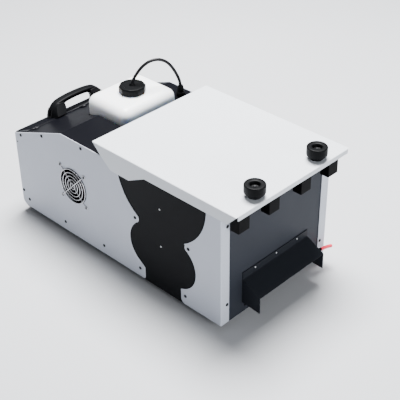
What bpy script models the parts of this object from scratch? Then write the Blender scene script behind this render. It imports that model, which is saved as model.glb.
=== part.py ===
"""Low-lying fog machine: heated fog is drawn through an ice chamber and leaves by a front outlet.

Lengths are millimetres from one datum: x from the middle, y from the middle of the lid (the
front is at -y), z from the lower edge of the side covers. at() turns them into the part's frame,
whose origin is on the floor under the middle of the machine.
"""
import math

import bmesh
import bpy
from mathutils import Matrix, Vector

MM = 0.001
DATUM_Y = 129.0          # datum y of the machine's middle
DATUM_Z = 14.0           # height of the side covers' lower edge above the floor
GAP = 0.3                # clearance between pieces that touch

COVER_X = 148.5          # outer face of the white side covers
COVER_T = 1.2
WALL_X = COVER_X - COVER_T - GAP
WALL_T = 1.5
IN_X = WALL_X - WALL_T - GAP          # half width of every sheet between the side walls
FRONT_Y = -142.2         # front face of the covers' front flanges
REAR_Y = 436.0
FLOOR_Z = -2.0           # underside of the black body
ROOF_Z = 232.6           # flat roof
KINK_Y = 282.6           # where the roof starts to fall to the rear
ROOF_SLOPE = 0.3726
FLANGE_IN_X = 127.0      # inner edge of the front flanges

LID_X = 152.5
LID_Y = 180.0
LID_Z = 259.1
LID_T = 1.5
HINGE_Y = 176.0
HINGE_Z = 249.0
KNOB_X = 83.3
KNOB_Y = -158.5
KNOB_R = 19.4

LOBE_Y = 7.0             # middle of the black figure between the covers
UPPER_R = 114.0
UPPER_Z = 237.0
LOWER_R = 53.2
LOWER_SHIFT = 33.8
LOWER_Z = 83.0

FAN_Y = 255.3
FAN_Z = 124.6
FAN_HOLES = 71.5
FAN_SIZE = 80.0

TANK = (-43.5, 103.5, 212.5, 330.5, 121.0, 260.0)
CAP_X = 30.0
CAP_Y = 268.5
CAP_Z = 276.2            # top of the cap
CAP_R = 27.4
GLAND_X = 121.0
GLAND_Y = 223.5
HOSE_R = 2.6
SUCTION_R = 3.4
HANDLE_X = -4.0



def roof(y):
    """Height of the roof's upper face."""
    return ROOF_Z - max(0.0, y - KINK_Y) * ROOF_SLOPE


def at(x, y, z):
    return Vector((x, y - DATUM_Y, z + DATUM_Z)) * MM


for old in list(bpy.data.objects):
    bpy.data.objects.remove(old, do_unlink=True)

PARTS = bpy.data.collections.new("fog_machine")
CUTTERS = bpy.data.collections.new("cutters")
for group in (PARTS, CUTTERS):
    bpy.context.scene.collection.children.link(group)


def material(name, colour, roughness, metallic=0.0, alpha=1.0):
    mat = bpy.data.materials.new(name)
    mat.use_nodes = True
    shader = mat.node_tree.nodes["Principled BSDF"]
    shader.inputs["Base Color"].default_value = (*colour, 1.0)
    shader.inputs["Roughness"].default_value = roughness
    shader.inputs["Metallic"].default_value = metallic
    shader.inputs["Alpha"].default_value = alpha
    return mat


LOOKS = {
    "white_paint": ((0.62, 0.64, 0.68), 0.45, 0.0),
    "lid_paint": ((0.80, 0.82, 0.85), 0.40, 0.0),
    "black_paint": ((0.016, 0.018, 0.022), 0.55, 0.0),
    "roof_paint": ((0.030, 0.030, 0.040), 0.55, 0.0),
    "panel_paint": ((0.030, 0.034, 0.046), 0.50, 0.0),
    "black_plastic": ((0.012, 0.012, 0.014), 0.50, 0.0),
    "grey_plastic": ((0.06, 0.06, 0.07), 0.50, 0.0),
    "tank_plastic": ((0.78, 0.82, 0.85), 0.35, 0.0),
    "rubber": ((0.02, 0.02, 0.02), 0.80, 0.0),
    "foam": ((0.05, 0.05, 0.055), 0.95, 0.0),
    "steel": ((0.60, 0.60, 0.62), 0.30, 1.0),
    "aluminium": ((0.70, 0.70, 0.71), 0.35, 1.0),
    "brass": ((0.60, 0.45, 0.20), 0.30, 1.0),
    "screw_black": ((0.03, 0.03, 0.035), 0.40, 0.6),
    "red_rubber": ((0.75, 0.05, 0.08), 0.45, 0.0),
    "green_board": ((0.02, 0.16, 0.07), 0.50, 0.0),
    "display": ((0.01, 0.02, 0.05), 0.10, 0.0),
    "hose_black": ((0.015, 0.015, 0.017), 0.40, 0.0),
}


def dress(obj, look):
    """Each object gets its own copy of the look it is made in."""
    colour, roughness, metallic = LOOKS[look]
    obj.data.materials.clear()
    obj.data.materials.append(material(obj.name, colour, roughness, metallic))


def finish(name, mesh, look, origin, matrix=None):
    """Puts a mesh, built in millimetres round the datum, in place with its origin where asked."""
    if matrix is not None:
        mesh.transform(matrix)
    mesh.transform(Matrix.Translation(-Vector(origin)))
    mesh.transform(Matrix.Scale(MM, 4))
    obj = bpy.data.objects.new(name, mesh)
    obj.location = at(*origin)
    PARTS.objects.link(obj)
    if look:
        dress(obj, look)
    return obj


def as_mesh(bm, name):
    bmesh.ops.recalc_face_normals(bm, faces=bm.faces)
    mesh = bpy.data.meshes.new(name)
    bm.to_mesh(mesh)
    bm.free()
    return mesh


def add_box(bm, x0, x1, y0, y1, z0, z1, turn=None):
    size = Matrix.Diagonal((x1 - x0, y1 - y0, z1 - z0, 1.0))
    place = Matrix.Translation(((x0 + x1) / 2, (y0 + y1) / 2, (z0 + z1) / 2))
    bmesh.ops.create_cube(bm, size=1.0, matrix=place @ (turn or Matrix()) @ size)


def add_rod(bm, p0, p1, r0, r1=None, sides=24):
    p0 = Vector(p0)
    p1 = Vector(p1)
    axis = p1 - p0
    turn = axis.to_track_quat("Z", "Y").to_matrix().to_4x4()
    place = Matrix.Translation((p0 + p1) / 2) @ turn
    bmesh.ops.create_cone(bm, cap_ends=True, segments=sides, radius1=r0,
                          radius2=r0 if r1 is None else r1, depth=axis.length, matrix=place)


def box(name, look, x0, x1, y0, y1, z0, z1, origin=None):
    bm = bmesh.new()
    add_box(bm, x0, x1, y0, y1, z0, z1)
    centre = ((x0 + x1) / 2, (y0 + y1) / 2, (z0 + z1) / 2)
    return finish(name, as_mesh(bm, name), look, origin or centre)


def rod(name, look, p0, p1, r0, r1=None, sides=24, origin=None):
    bm = bmesh.new()
    add_rod(bm, p0, p1, r0, r1, sides)
    return finish(name, as_mesh(bm, name), look, origin or p0)


def many(name, look, items, origin=(0, 0, 0)):
    """Separate boxes and rods that share one object: ("box", six numbers) or ("rod", p0, p1, r)."""
    bm = bmesh.new()
    for kind, *values in items:
        if kind == "box":
            add_box(bm, *values)
        else:
            add_rod(bm, *values)
    return finish(name, as_mesh(bm, name), look, origin)


PLANES = {
    "X": Matrix(((0, 0, 1, 0), (1, 0, 0, 0), (0, 1, 0, 0), (0, 0, 0, 1))),
    "Y": Matrix(((1, 0, 0, 0), (0, 0, -1, 0), (0, 1, 0, 0), (0, 0, 0, 1))),
    "Z": Matrix(),
}


def plate(name, look, outlines, axis, lo, hi, origin=(0, 0, 0)):
    """A flat outline with its holes, extruded from lo to hi along the axis."""
    curve = bpy.data.curves.new(name, "CURVE")
    curve.dimensions = "2D"
    curve.fill_mode = "BOTH"
    curve.extrude = (hi - lo) / 2
    for points in outlines:
        spline = curve.splines.new("POLY")
        spline.points.add(len(points) - 1)
        for point, (a, b) in zip(spline.points, points):
            point.co = (a, b, 0.0, 1.0)
        spline.use_cyclic_u = True
    obj = bpy.data.objects.new(name + "_outline", curve)
    PARTS.objects.link(obj)
    graph = bpy.context.evaluated_depsgraph_get()
    mesh = bpy.data.meshes.new_from_object(obj.evaluated_get(graph))
    bpy.data.objects.remove(obj, do_unlink=True)
    bm = bmesh.new()
    bm.from_mesh(mesh)
    bmesh.ops.remove_doubles(bm, verts=bm.verts, dist=0.0005)
    bm.to_mesh(mesh)
    bm.free()
    mid = (lo + hi) / 2
    lift = {"X": (mid, 0, 0), "Y": (0, mid, 0), "Z": (0, 0, mid)}[axis]
    mesh.name = name
    return finish(name, mesh, look, origin, Matrix.Translation(lift) @ PLANES[axis])


def turned(name, look, profile, centre, axis="Z", steps=32, origin=None):
    """A profile of (radius, height) from top to bottom, turned about the axis through centre."""
    bm = bmesh.new()
    verts = [bm.verts.new((r, 0.0, h)) for r, h in profile]
    for a, b in zip(verts, verts[1:]):
        bm.edges.new((a, b))
    mesh = bpy.data.meshes.new(name)
    bm.to_mesh(mesh)
    bm.free()
    obj = bpy.data.objects.new(name + "_profile", mesh)
    PARTS.objects.link(obj)
    screw = obj.modifiers.new("turn", "SCREW")
    screw.axis = "Z"
    screw.steps = steps
    screw.render_steps = steps
    screw.use_merge_vertices = True
    screw.merge_threshold = 0.0001
    graph = bpy.context.evaluated_depsgraph_get()
    done = bpy.data.meshes.new_from_object(obj.evaluated_get(graph))
    bpy.data.objects.remove(obj, do_unlink=True)
    bm = bmesh.new()
    bm.from_mesh(done)
    bmesh.ops.remove_doubles(bm, verts=bm.verts, dist=0.001)
    bmesh.ops.recalc_face_normals(bm, faces=bm.faces)
    bm.to_mesh(done)
    bm.free()
    turn = {
        "Z": Matrix(),
        "X": Matrix.Rotation(math.pi / 2, 4, "Y"),
        "-X": Matrix.Rotation(-math.pi / 2, 4, "Y"),
        "Y": Matrix.Rotation(-math.pi / 2, 4, "X"),
        "-Y": Matrix.Rotation(math.pi / 2, 4, "X"),
    }[axis]
    return finish(name, done, look, origin or centre, Matrix.Translation(centre) @ turn)


def tube(name, look, points, radius, resolution=2, origin=None):
    """A hose along points, with filled ends."""
    start = Vector(origin or points[0])
    curve = bpy.data.curves.new(name, "CURVE")
    curve.dimensions = "3D"
    curve.bevel_depth = radius * MM
    curve.bevel_resolution = resolution
    curve.use_fill_caps = True
    spline = curve.splines.new("POLY")
    spline.points.add(len(points) - 1)
    for point, place in zip(spline.points, points):
        point.co = (*((Vector(place) - start) * MM), 1.0)
    obj = bpy.data.objects.new(name, curve)
    obj.location = at(*start)
    PARTS.objects.link(obj)
    dress(obj, look)
    return obj


def smooth(route, steps):
    """Points of a Catmull-Rom curve through the route's own points."""
    ends = [2 * Vector(route[0]) - Vector(route[1])]
    ends += [Vector(p) for p in route]
    ends += [2 * Vector(route[-1]) - Vector(route[-2])]
    out = []
    for a, b, c, d in zip(ends, ends[1:], ends[2:], ends[3:]):
        for k in range(steps):
            t = k / steps
            out.append(0.5 * (2 * b + (c - a) * t + (2 * a - 5 * b + 4 * c - d) * t * t
                              + (3 * b - a - 3 * c + d) * t ** 3))
    return out + [Vector(route[-1])]


def combine(target, other, how):
    """Boolean with another object, which moves to the cutters' collection."""
    PARTS.objects.unlink(other)
    CUTTERS.objects.link(other)
    other.hide_render = True
    other.display_type = "WIRE"
    step = target.modifiers.new(other.name, "BOOLEAN")
    step.operation = how
    step.solver = "EXACT"
    step.object = other
    return target


def cut(target, *others):
    for other in others:
        combine(target, other, "DIFFERENCE")
    return target


def join(target, *others):
    for other in others:
        combine(target, other, "UNION")
    return target


def arc(cx, cy, r, a0, a1, n):
    return [(cx + r * math.cos(math.radians(a0 + (a1 - a0) * k / n)),
             cy + r * math.sin(math.radians(a0 + (a1 - a0) * k / n))) for k in range(n + 1)]


def circle(cx, cy, r, n=32):
    return arc(cx, cy, r, 0, 360, n)[:-1]


def rect(x0, x1, y0, y1):
    return [(x0, y0), (x1, y0), (x1, y1), (x0, y1)]


def rounded(x0, x1, y0, y1, r, n=4):
    return (arc(x1 - r, y0 + r, r, -90, 0, n) + arc(x1 - r, y1 - r, r, 0, 90, n)
            + arc(x0 + r, y1 - r, r, 90, 180, n) + arc(x0 + r, y0 + r, r, 180, 270, n))


def folded(points, thickness):
    """Closed outline of a bent sheet: the outer line and its offset to the right-hand side."""
    pts = [Vector(p) for p in points]
    inner = []
    for k, p in enumerate(pts):
        before = (p - pts[k - 1]).normalized() if k else None
        after = (pts[k + 1] - p).normalized() if k < len(pts) - 1 else None
        normals = [Vector((d.y, -d.x)) for d in (before, after) if d is not None]
        middle = sum(normals, Vector((0, 0))).normalized()
        inner.append(p + middle * thickness / middle.dot(normals[0]))
    return [tuple(p) for p in pts] + [tuple(p) for p in reversed(inner)]


def body_outline(front, rear, floor, drop, top_front):
    """Side view of the body: floor, round lower rear corner, falling roof, flat roof, front."""
    r = rear - 421.0
    out = [(front, floor)]
    out += arc(rear - r, floor + r, r, -90, 0, 5)
    out += [(rear, roof(rear) - drop), (KINK_Y, ROOF_Z - drop)]
    if top_front > ROOF_Z:
        out += [(151.0, ROOF_Z - drop), (151.0, top_front)]
    out += [(front, top_front)]
    return out


# ---------------------------------------------------------------- body: pan, walls, covers

def base_pan():
    pan = box("base_pan", "black_paint", -IN_X, IN_X, -138.6, 418.0, FLOOR_Z, FLOOR_Z + 1.5)
    lips = []
    for side in (-1, 1):
        x0, x1 = sorted((side * (IN_X - 1.5), side * IN_X))
        lips.append(box(f"pan_lip_{side}", None, x0, x1, -130.0, 410.0, FLOOR_Z + 0.5, 14.0))
    join(pan, *lips)


def side_wall(name, side):
    lo, hi = sorted((side * WALL_X, side * (WALL_X - WALL_T)))
    wall = plate(name, "black_paint",
                 [body_outline(-140.7, 434.4, FLOOR_Z, 0.0, 245.0)], "X", lo, hi)
    return wall


def rear_cover_outline():
    """White rear cover: the front edge is a big arc, a round lobe, a small arc and a tongue."""
    top = math.degrees(math.asin((ROOF_Z - UPPER_Z) / UPPER_R))
    upper = arc(LOBE_Y, UPPER_Z, UPPER_R, top, -58.0, 10)
    lobe = arc(LOBE_Y + 69.5, 134.0, 9.0, 150.0, 255.0, 5)
    lower = arc(LOBE_Y + LOWER_SHIFT, LOWER_Z, LOWER_R, 45.0, -58.0, 10)
    tongue = arc(56.0 + 5.0, 1.0 + 5.0, 5.0, 180.0, 270.0, 4)
    out = upper + lobe + lower + [(56.0, 28.0)] + tongue
    body = body_outline(0.0, REAR_Y, 1.0, 0.0, ROOF_Z)
    return out + body[1:-1]


def front_cover_outline():
    """White front cover: the same figure mirrored, down to a square shoulder and a tongue."""
    upper = arc(LOBE_Y, UPPER_Z, UPPER_R, 180.0, 239.0, 10)
    lobe = arc(LOBE_Y - 69.0, 133.5, 9.0, 30.0, -75.0, 5)
    lower = arc(LOBE_Y - LOWER_SHIFT, LOWER_Z, LOWER_R, 135.0, 252.0, 11)
    tongue = arc(-41.0 - 10.0, 10.0, 10.0, 0.0, -90.0, 4)
    return [(FRONT_Y, 236.0), (upper[0][0], 236.0)] + upper + lobe + lower + [(-41.0, 31.5)] \
        + tongue + [(FRONT_Y, 0.0)]


def rear_cover(name, side):
    lo, hi = sorted((side * COVER_X, side * (COVER_X - COVER_T)))
    return plate(name, "white_paint", [rear_cover_outline()], "X", lo, hi)


def front_cover(name, side):
    lo, hi = sorted((side * COVER_X, side * (COVER_X - COVER_T)))
    cover = plate(name, "white_paint", [front_cover_outline()], "X", lo, hi)
    a, b = sorted((side * FLANGE_IN_X, side * (COVER_X - 0.2)))
    return join(cover, box(name + "_flange", None, a, b, FRONT_Y, FRONT_Y + COVER_T, 0.0, 236.0))


def front_panel():
    """Black front sheet whose top is folded forward as the ledge that the lid screws into."""
    outline = folded([(-171.0, 252.5), (-139.2, 252.5), (-139.2, FLOOR_Z)], 1.5)
    panel = plate("front_panel", "panel_paint", [outline], "X", -IN_X + 2.0, IN_X - 2.0)
    cut(panel, box("outlet_cut", None, -84.0, 84.0, -150.0, -130.0, 8.0, 68.0),
        rod("spout_cut", None, (110.0, -150.0, 36.0), (110.0, -130.0, 36.0), 3.2))
    for side in (-1, 1):
        cut(panel, rod(f"stud_cut_{side}", None, (side * KNOB_X, KNOB_Y, 240.0),
                       (side * KNOB_X, KNOB_Y, 260.0), 4.2))


def rear_panel():
    """Rear sheet with a round lower corner and a strip folded over the rear of the roof."""
    lift = 1.5
    line = [(421.5, FLOOR_Z)] + arc(REAR_Y - 15.0, FLOOR_Z + 15.0, 15.0, -80, 0, 4)
    line += [(REAR_Y, roof(REAR_Y) + lift), (397.0, roof(397.0) + lift)]
    panel = plate("rear_panel", "roof_paint", [folded(line[::-1], 1.2)], "X", -IN_X, IN_X)
    tilt = Matrix.Rotation(-math.atan(ROOF_SLOPE), 4, "X")
    for x in (-126.5, 0.0, 126.5):
        bm = bmesh.new()
        z = roof(393.5) + lift - 0.6
        add_box(bm, x - 7.0, x + 7.0, 387.5, 399.5, z - 0.6, z + 0.6, tilt)
        tab = finish(f"roof_tab_{x:.0f}", as_mesh(bm, "tab"), None, (x, 393.5, z))
        join(panel, tab)
    holes = [box("inlet_cut", None, 84.5, 115.5, 430, 440, 35.0, 57.0),
             box("rocker_cut", None, 47.0, 69.0, 430, 440, 35.0, 61.0),
             rod("fuse_cut", None, (24.0, 430, 46.0), (24.0, 440, 46.0), 6.3),
             box("window_cut", None, -94.0, -42.0, 430, 440, 118.0, 144.0)]
    for k, x in enumerate(BUTTON_X):
        holes.append(rod(f"button_cut_{k}", None, (x, 430, BUTTON_Z), (x, 440, BUTTON_Z), 5.0))
    for k, x in enumerate(SOCKET_X):
        holes.append(rod(f"socket_cut_{k}", None, (x, 430, 46.0), (x, 440, 46.0), 12.3))
    cut(panel, *holes)


def roof_plate():
    line = [(152.0, ROOF_Z), (KINK_Y, ROOF_Z), (434.3, roof(434.3))]
    sheet = plate("roof_plate", "roof_paint", [folded(line, 1.5)], "X", -IN_X, IN_X)
    cut(sheet, box("bay_cut", None, -46.0, 106.0, 210.0, 333.0, 190.0, 260.0),
        rod("gland_cut", None, (GLAND_X, GLAND_Y, 220.0), (GLAND_X, GLAND_Y, 240.0), 6.3))


def bulkhead():
    """Sheet between the ice chamber and the works, folded to the rear under the hinge."""
    outline = folded([(149.4, -0.2), (149.4, 246.0), (172.0, 246.0)], 1.5)
    sheet = plate("bulkhead", "black_paint", [outline], "X", -IN_X + 2.0, IN_X - 2.0)
    cut(sheet, rod("duct_cut", None, (20, 140, 66), (20, 160, 66), 16.4))


def hood():
    """Folded deflector over the outlet: strip, sloping plate and two cheeks."""
    half = 91.5
    line = [(-184.0, 54.0), (-142.5, 75.0), (-142.5, 90.0)]
    shell = plate("fog_hood", "black_paint", [folded(line, 1.5)], "X", -half + 0.4, half - 0.4)
    cheek = [(-141.2, 74.8), (-183.6, 53.6), (-183.6, 19.4), (-141.2, 22.5)]
    for side in (-1, 1):
        lo, hi = sorted((side * half, side * (half - 1.5)))
        join(shell, plate(f"cheek_{side}", None, [cheek], "X", lo, hi))
    return shell


def rest_rail():
    """Moulded rail under the ledge with four deep blocks that the lid's load rests on."""
    rail = box("lid_rest_rail", "black_plastic", -135.0, 135.0, -170.0, -150.0, 247.6, 250.7)
    for side in (-1, 1):
        for x0, x1 in ((29.0, 57.0), (107.0, 135.0)):
            a, b = sorted((side * x0, side * x1))
            join(rail, box(f"block_{a:.0f}", None, a, b, -170.0, -150.0, 211.5, 249.0))
        cut(rail, rod(f"rail_cut_{side}", None, (side * KNOB_X, KNOB_Y, 240.0),
                      (side * KNOB_X, KNOB_Y, 260.0), 4.2))


def feet():
    for k, (x, y) in enumerate(((-118, -108), (118, -108), (-118, 392), (118, 392))):
        rod(f"rubber_foot_{k + 1}", "rubber", (x, y, -DATUM_Z), (x, y, FLOOR_Z - GAP), 13.0, 15.0,
            24)


# ---------------------------------------------------------------- lid and its screws

def lid():
    top = box("lid", "lid_paint", -LID_X, LID_X, -LID_Y, LID_Y, LID_Z - LID_T, LID_Z,
              (0, HINGE_Y, HINGE_Z))
    flange = [(-LID_Y + 0.5, LID_Z - 0.5), (-159.6, 236.7), (41.5, 236.7), (84.0, 215.3),
              (133.0, 215.3), (157.0, 235.0), (LID_Y - 0.5, LID_Z - 0.5)]
    for side in (-1, 1):
        lo, hi = sorted((side * LID_X, side * (LID_X - LID_T)))
        join(top, plate(f"lid_flange_{side}", None, [flange], "X", lo, hi))
    join(top, box("lid_lip", None, -LID_X + 4.0, LID_X - 4.0, -LID_Y, -LID_Y + LID_T,
                  LID_Z - 9.5, LID_Z - 0.5))
    for side in (-1, 1):
        cut(top, rod(f"lid_hole_{side}", None, (side * KNOB_X, KNOB_Y, 250.0),
                     (side * KNOB_X, KNOB_Y, 265.0), 4.0))


def hinge():
    length = 200.0
    count = 5
    step = length / count
    fixed = box("hinge_fixed_leaf", "steel", -100, 100, 153.0, 174.0, 246.3, 247.6)
    moving = plate("hinge_moving_leaf", "steel",
                   [folded([(152.0, 257.3), (179.0, 257.3), (179.0, 249.6)], 1.3)],
                   "X", -100, 100, (0, HINGE_Y, HINGE_Z))
    barrel_r = 3.0
    for k in range(count):
        x0 = -length / 2 + k * step + 0.25
        x1 = x0 + step - 0.5
        ends = ((x0, HINGE_Y, HINGE_Z), (x1, HINGE_Y, HINGE_Z))
        knuckle = rod(f"knuckle_{k}", None, *ends, barrel_r, sides=20)
        clear = box(f"knuckle_room_{k}", None, x0 - 0.5, x1 + 0.5, HINGE_Y - 3.6, HINGE_Y + 6.0,
                    HINGE_Z - 3.6, HINGE_Z + 3.6)
        if k % 2 == 0:
            cut(moving, clear)
            join(fixed, knuckle)
        else:
            cut(fixed, clear)
            join(moving, knuckle)
    cut(fixed, rod("pin_bore", None, (-110, HINGE_Y, HINGE_Z), (110, HINGE_Y, HINGE_Z), 1.6,
                   sides=16))
    join(moving, rod("hinge_pin", None, (-99, HINGE_Y, HINGE_Z), (99, HINGE_Y, HINGE_Z), 1.5,
                     sides=16))


def thumbscrew(name, x):
    """Knob with a rim, a dished middle with the stud's end in it, a taper and a collar."""
    z = LID_Z
    profile = [(0.0, z + 22.4), (2.6, z + 22.4), (2.6, z + 20.4), (7.5, z + 20.4),
               (9.4, z + 24.4), (12.5, z + 25.6), (17.7, z + 25.6), (KNOB_R, z + 23.8),
               (KNOB_R, z + 8.4), (13.0, z + 2.6), (12.0, z + GAP), (3.0, z + GAP),
               (3.0, z - 15.0), (0.0, z - 15.0)]
    turned(name, "black_plastic", profile, (x, KNOB_Y, 0.0), steps=32, origin=(x, KNOB_Y, z))


# ---------------------------------------------------------------- ice chamber

def ice_chamber():
    """Tub with two ledges that the lift-out grid lies on, its seal, the lid's foam and the duct."""
    tub = box("ice_tub", "grey_plastic", -136, 136, -132, 146, 22, 246)
    cut(tub, box("tub_hollow", None, -133.5, 133.5, -129.5, 143.5, 24.5, 260),
        box("tub_outlet", None, -80, 80, -140, -120, 30.0, 66.0),
        rod("tub_inlet", None, (20, 130, 66), (20, 160, 66), 16.4))
    for side in (-1, 1):
        lo, hi = sorted((side * 134.5, side * 129.0))
        join(tub, box(f"grid_ledge_{side}", None, lo, hi, -112.0, 122.0, 93.0, 97.7))
    plate("tub_seal", "foam", [rect(-136, 136, -132, 146), rect(-131, 131, -127, 141)],
          "Z", 246.3, 249.6)
    box("lid_foam", "foam", -130, 130, -126, 140, 250.0, 257.3, (0, HINGE_Y, HINGE_Z))
    slots = [rect(-120 + 30 * i, -98 + 30 * i, -116 + 50 * j, -76 + 50 * j)
             for i in range(8) for j in range(5)]
    plate("ice_grid", "steel", [rect(-132.5, 132.5, -128.5, 142.5)] + slots, "Z", 98.0, 99.5)
    duct = rod("fog_duct", "aluminium", (20, 128, 66), (20, 196, 66), 16.0)
    cut(duct, rod("duct_bore", None, (20, 120, 66), (20, 200, 66), 14.5))


def drain():
    spout = rod("drain_spout", "black_plastic", (110, -136.0, 36), (110, -158.0, 36), 2.8,
                sides=16)
    join(spout, rod("spout_nut", None, (110, -140.9, 36), (110, -145.0, 36), 6.5, sides=6),
         rod("spout_arm", None, (107.4, -156.0, 36), (119.0, -156.0, 35.0), 2.8, sides=16))
    route = [(119.4, -156.0, 35.0), (130.0, -156.6, 33.4), (141.0, -157.0, 30.6),
             (150.8, -157.0, 27.0)]
    tube("drain_hose", "red_rubber", smooth(route, 3), 3.5, 3)


# ---------------------------------------------------------------- heater, pump, board

def works():
    heater = box("heater_block", "aluminium", -28, 68, 216, 388, 42, 92)
    round_ends = heater.modifiers.new("edges", "BEVEL")
    round_ends.width = 6 * MM
    round_ends.segments = 2
    join(heater, rod("heater_port", None, (20, 380, 66), (20, 396, 66), 5.0, sides=16))
    rod("nozzle", "brass", (20, 215.7, 66), (20, 190, 66), 9.0, 5.0, sides=12)
    shell = folded([(-35.0, -0.2), (-35.0, 98.0), (75.0, 98.0), (75.0, -0.2)], 1.0)
    plate("heat_shield", "steel", [shell], "Y", 222.0, 382.0)
    rod("thermostat", "steel", (20, 300, 92.3), (20, 300, 96.6), 11.0)
    pump = box("pump", "grey_plastic", 98, 134, 300, 352, 14, 58)
    join(pump, rod("pump_front", None, (116, 286, 36), (116, 302, 36), 9.0, sides=16),
         rod("pump_rear", None, (116, 350, 36), (116, 368, 36), 9.0, sides=16),
         box("pump_foot", None, 92, 140, 306, 346, -0.2, 15))
    route = [(GLAND_X, GLAND_Y, 224.0), (121, 224, 190), (120, 228, 130), (117, 245, 70),
             (116, 262, 42), (116, 285.6, 36)]
    tube("pump_hose", "hose_black", smooth(route, 5), HOSE_R)
    route = [(116, 368.4, 36), (114, 388, 37), (92, 408, 46), (56, 414, 58), (28, 410, 65),
             (20.5, 403, 66), (20, 398.0, 66), (20, 396.4, 66)]
    tube("feed_hose", "steel", smooth(route, 5), HOSE_R)
    board = box("control_board", "green_board", -132, -38, 424.0, 425.6, 92, 168)
    join(board, box("chip", None, -120, -95, 408, 425, 130, 160),
         box("relay", None, -82, -60, 406, 425, 112, 140),
         box("terminal", None, -128, -86, 412, 425, 98, 110))


# ---------------------------------------------------------------- fan in the left side

def fan():
    x0 = -IN_X
    depth = 25.0
    half = FAN_SIZE / 2
    frame = plate("fan_frame", "black_plastic",
                  [rounded(FAN_Y - half, FAN_Y + half, FAN_Z - half, FAN_Z + half, 5.0),
                   circle(FAN_Y, FAN_Z, 38.2, 40)], "X", x0, x0 + depth)
    inner = x0 + depth
    hub = rod("fan_hub_mount", None, (inner - 3.0, FAN_Y, FAN_Z), (inner, FAN_Y, FAN_Z), 16.0)
    struts = [hub]
    for k in range(4):
        bm = bmesh.new()
        add_box(bm, inner - 3.0, inner, FAN_Y - 2.0, FAN_Y + 2.0, FAN_Z + 14.0, FAN_Z + 39.5)
        turn = Matrix.Translation((0, FAN_Y, FAN_Z)) @ Matrix.Rotation(
            math.radians(45 + 90 * k), 4, "X") @ Matrix.Translation((0, -FAN_Y, -FAN_Z))
        struts.append(finish(f"fan_strut_{k}", as_mesh(bm, "strut"), None,
                             (inner, FAN_Y, FAN_Z), turn))
    join(frame, *struts)
    rotor = rod("fan_rotor", "black_plastic", (x0 + 2.5, FAN_Y, FAN_Z), (x0 + 21.5, FAN_Y, FAN_Z),
                15.0, origin=(x0 + 12.0, FAN_Y, FAN_Z))
    for k in range(7):
        bm = bmesh.new()
        add_box(bm, x0 + 3.5, x0 + 20.5, FAN_Y - 1.0, FAN_Y + 1.0, FAN_Z + 13.5, FAN_Z + 36.5,
                Matrix.Rotation(math.radians(38), 4, "Z"))
        turn = Matrix.Translation((0, FAN_Y, FAN_Z)) @ Matrix.Rotation(
            math.tau * k / 7, 4, "X") @ Matrix.Translation((0, -FAN_Y, -FAN_Z))
        join(rotor, finish(f"fan_blade_{k}", as_mesh(bm, "blade"), None,
                           (x0 + 12.0, FAN_Y, FAN_Z), turn))


def fan_guard():
    """Finger guard: five rings over two crossed bars that end in the screws' eyes."""
    lo = -COVER_X - 3.4
    hi = -COVER_X - GAP
    guard = None
    for k in range(5):
        r = 7.0 + 7.6 * k
        ring = plate("fan_guard" if guard is None else f"guard_ring_{k}",
                     "steel" if guard is None else None,
                     [circle(FAN_Y, FAN_Z, r + 0.9, 28), circle(FAN_Y, FAN_Z, r - 0.9, 28)],
                     "X", lo + 1.0, hi)
        guard = join(guard, ring) if guard else ring
    half = FAN_HOLES / 2
    for k, sign in enumerate((-1, 1)):
        bm = bmesh.new()
        reach = half * math.sqrt(2) + 4.0
        depth = (lo, hi - 0.6) if k == 0 else (lo + 1.6, hi)
        add_box(bm, *depth, FAN_Y - 0.9, FAN_Y + 0.9, FAN_Z - reach, FAN_Z + reach)
        turn = Matrix.Translation((0, FAN_Y, FAN_Z)) @ Matrix.Rotation(
            math.radians(45 * sign), 4, "X") @ Matrix.Translation((0, -FAN_Y, -FAN_Z))
        join(guard, finish(f"guard_bar_{k}", as_mesh(bm, "bar"), None, (lo, FAN_Y, FAN_Z), turn))


def vents(wall, cover):
    """Fan opening in the left side, outlet slots in the right side."""
    fan_left = rod("fan_cut", None, (-160, FAN_Y, FAN_Z), (-140, FAN_Y, FAN_Z), 38.5, sides=40)
    PARTS.objects.unlink(fan_left)
    CUTTERS.objects.link(fan_left)
    fan_left.hide_render = True
    fan_left.display_type = "WIRE"
    for sheet in (wall[0], cover[0]):
        step = sheet.modifiers.new("fan_opening", "BOOLEAN")
        step.solver = "EXACT"
        step.object = fan_left
    slots = []
    for k in range(7):
        z = 94.0 + 10.0 * k
        slots.append(("box", 140, 160, FAN_Y - 32, FAN_Y + 32, z - 2.5, z + 2.5))
    comb = many("slot_cut", None, slots)
    PARTS.objects.unlink(comb)
    CUTTERS.objects.link(comb)
    comb.hide_render = True
    comb.display_type = "WIRE"
    for sheet in (wall[1], cover[1]):
        step = sheet.modifiers.new("vent_slots", "BOOLEAN")
        step.solver = "EXACT"
        step.object = comb


# ---------------------------------------------------------------- tank, cap, hose

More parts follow.
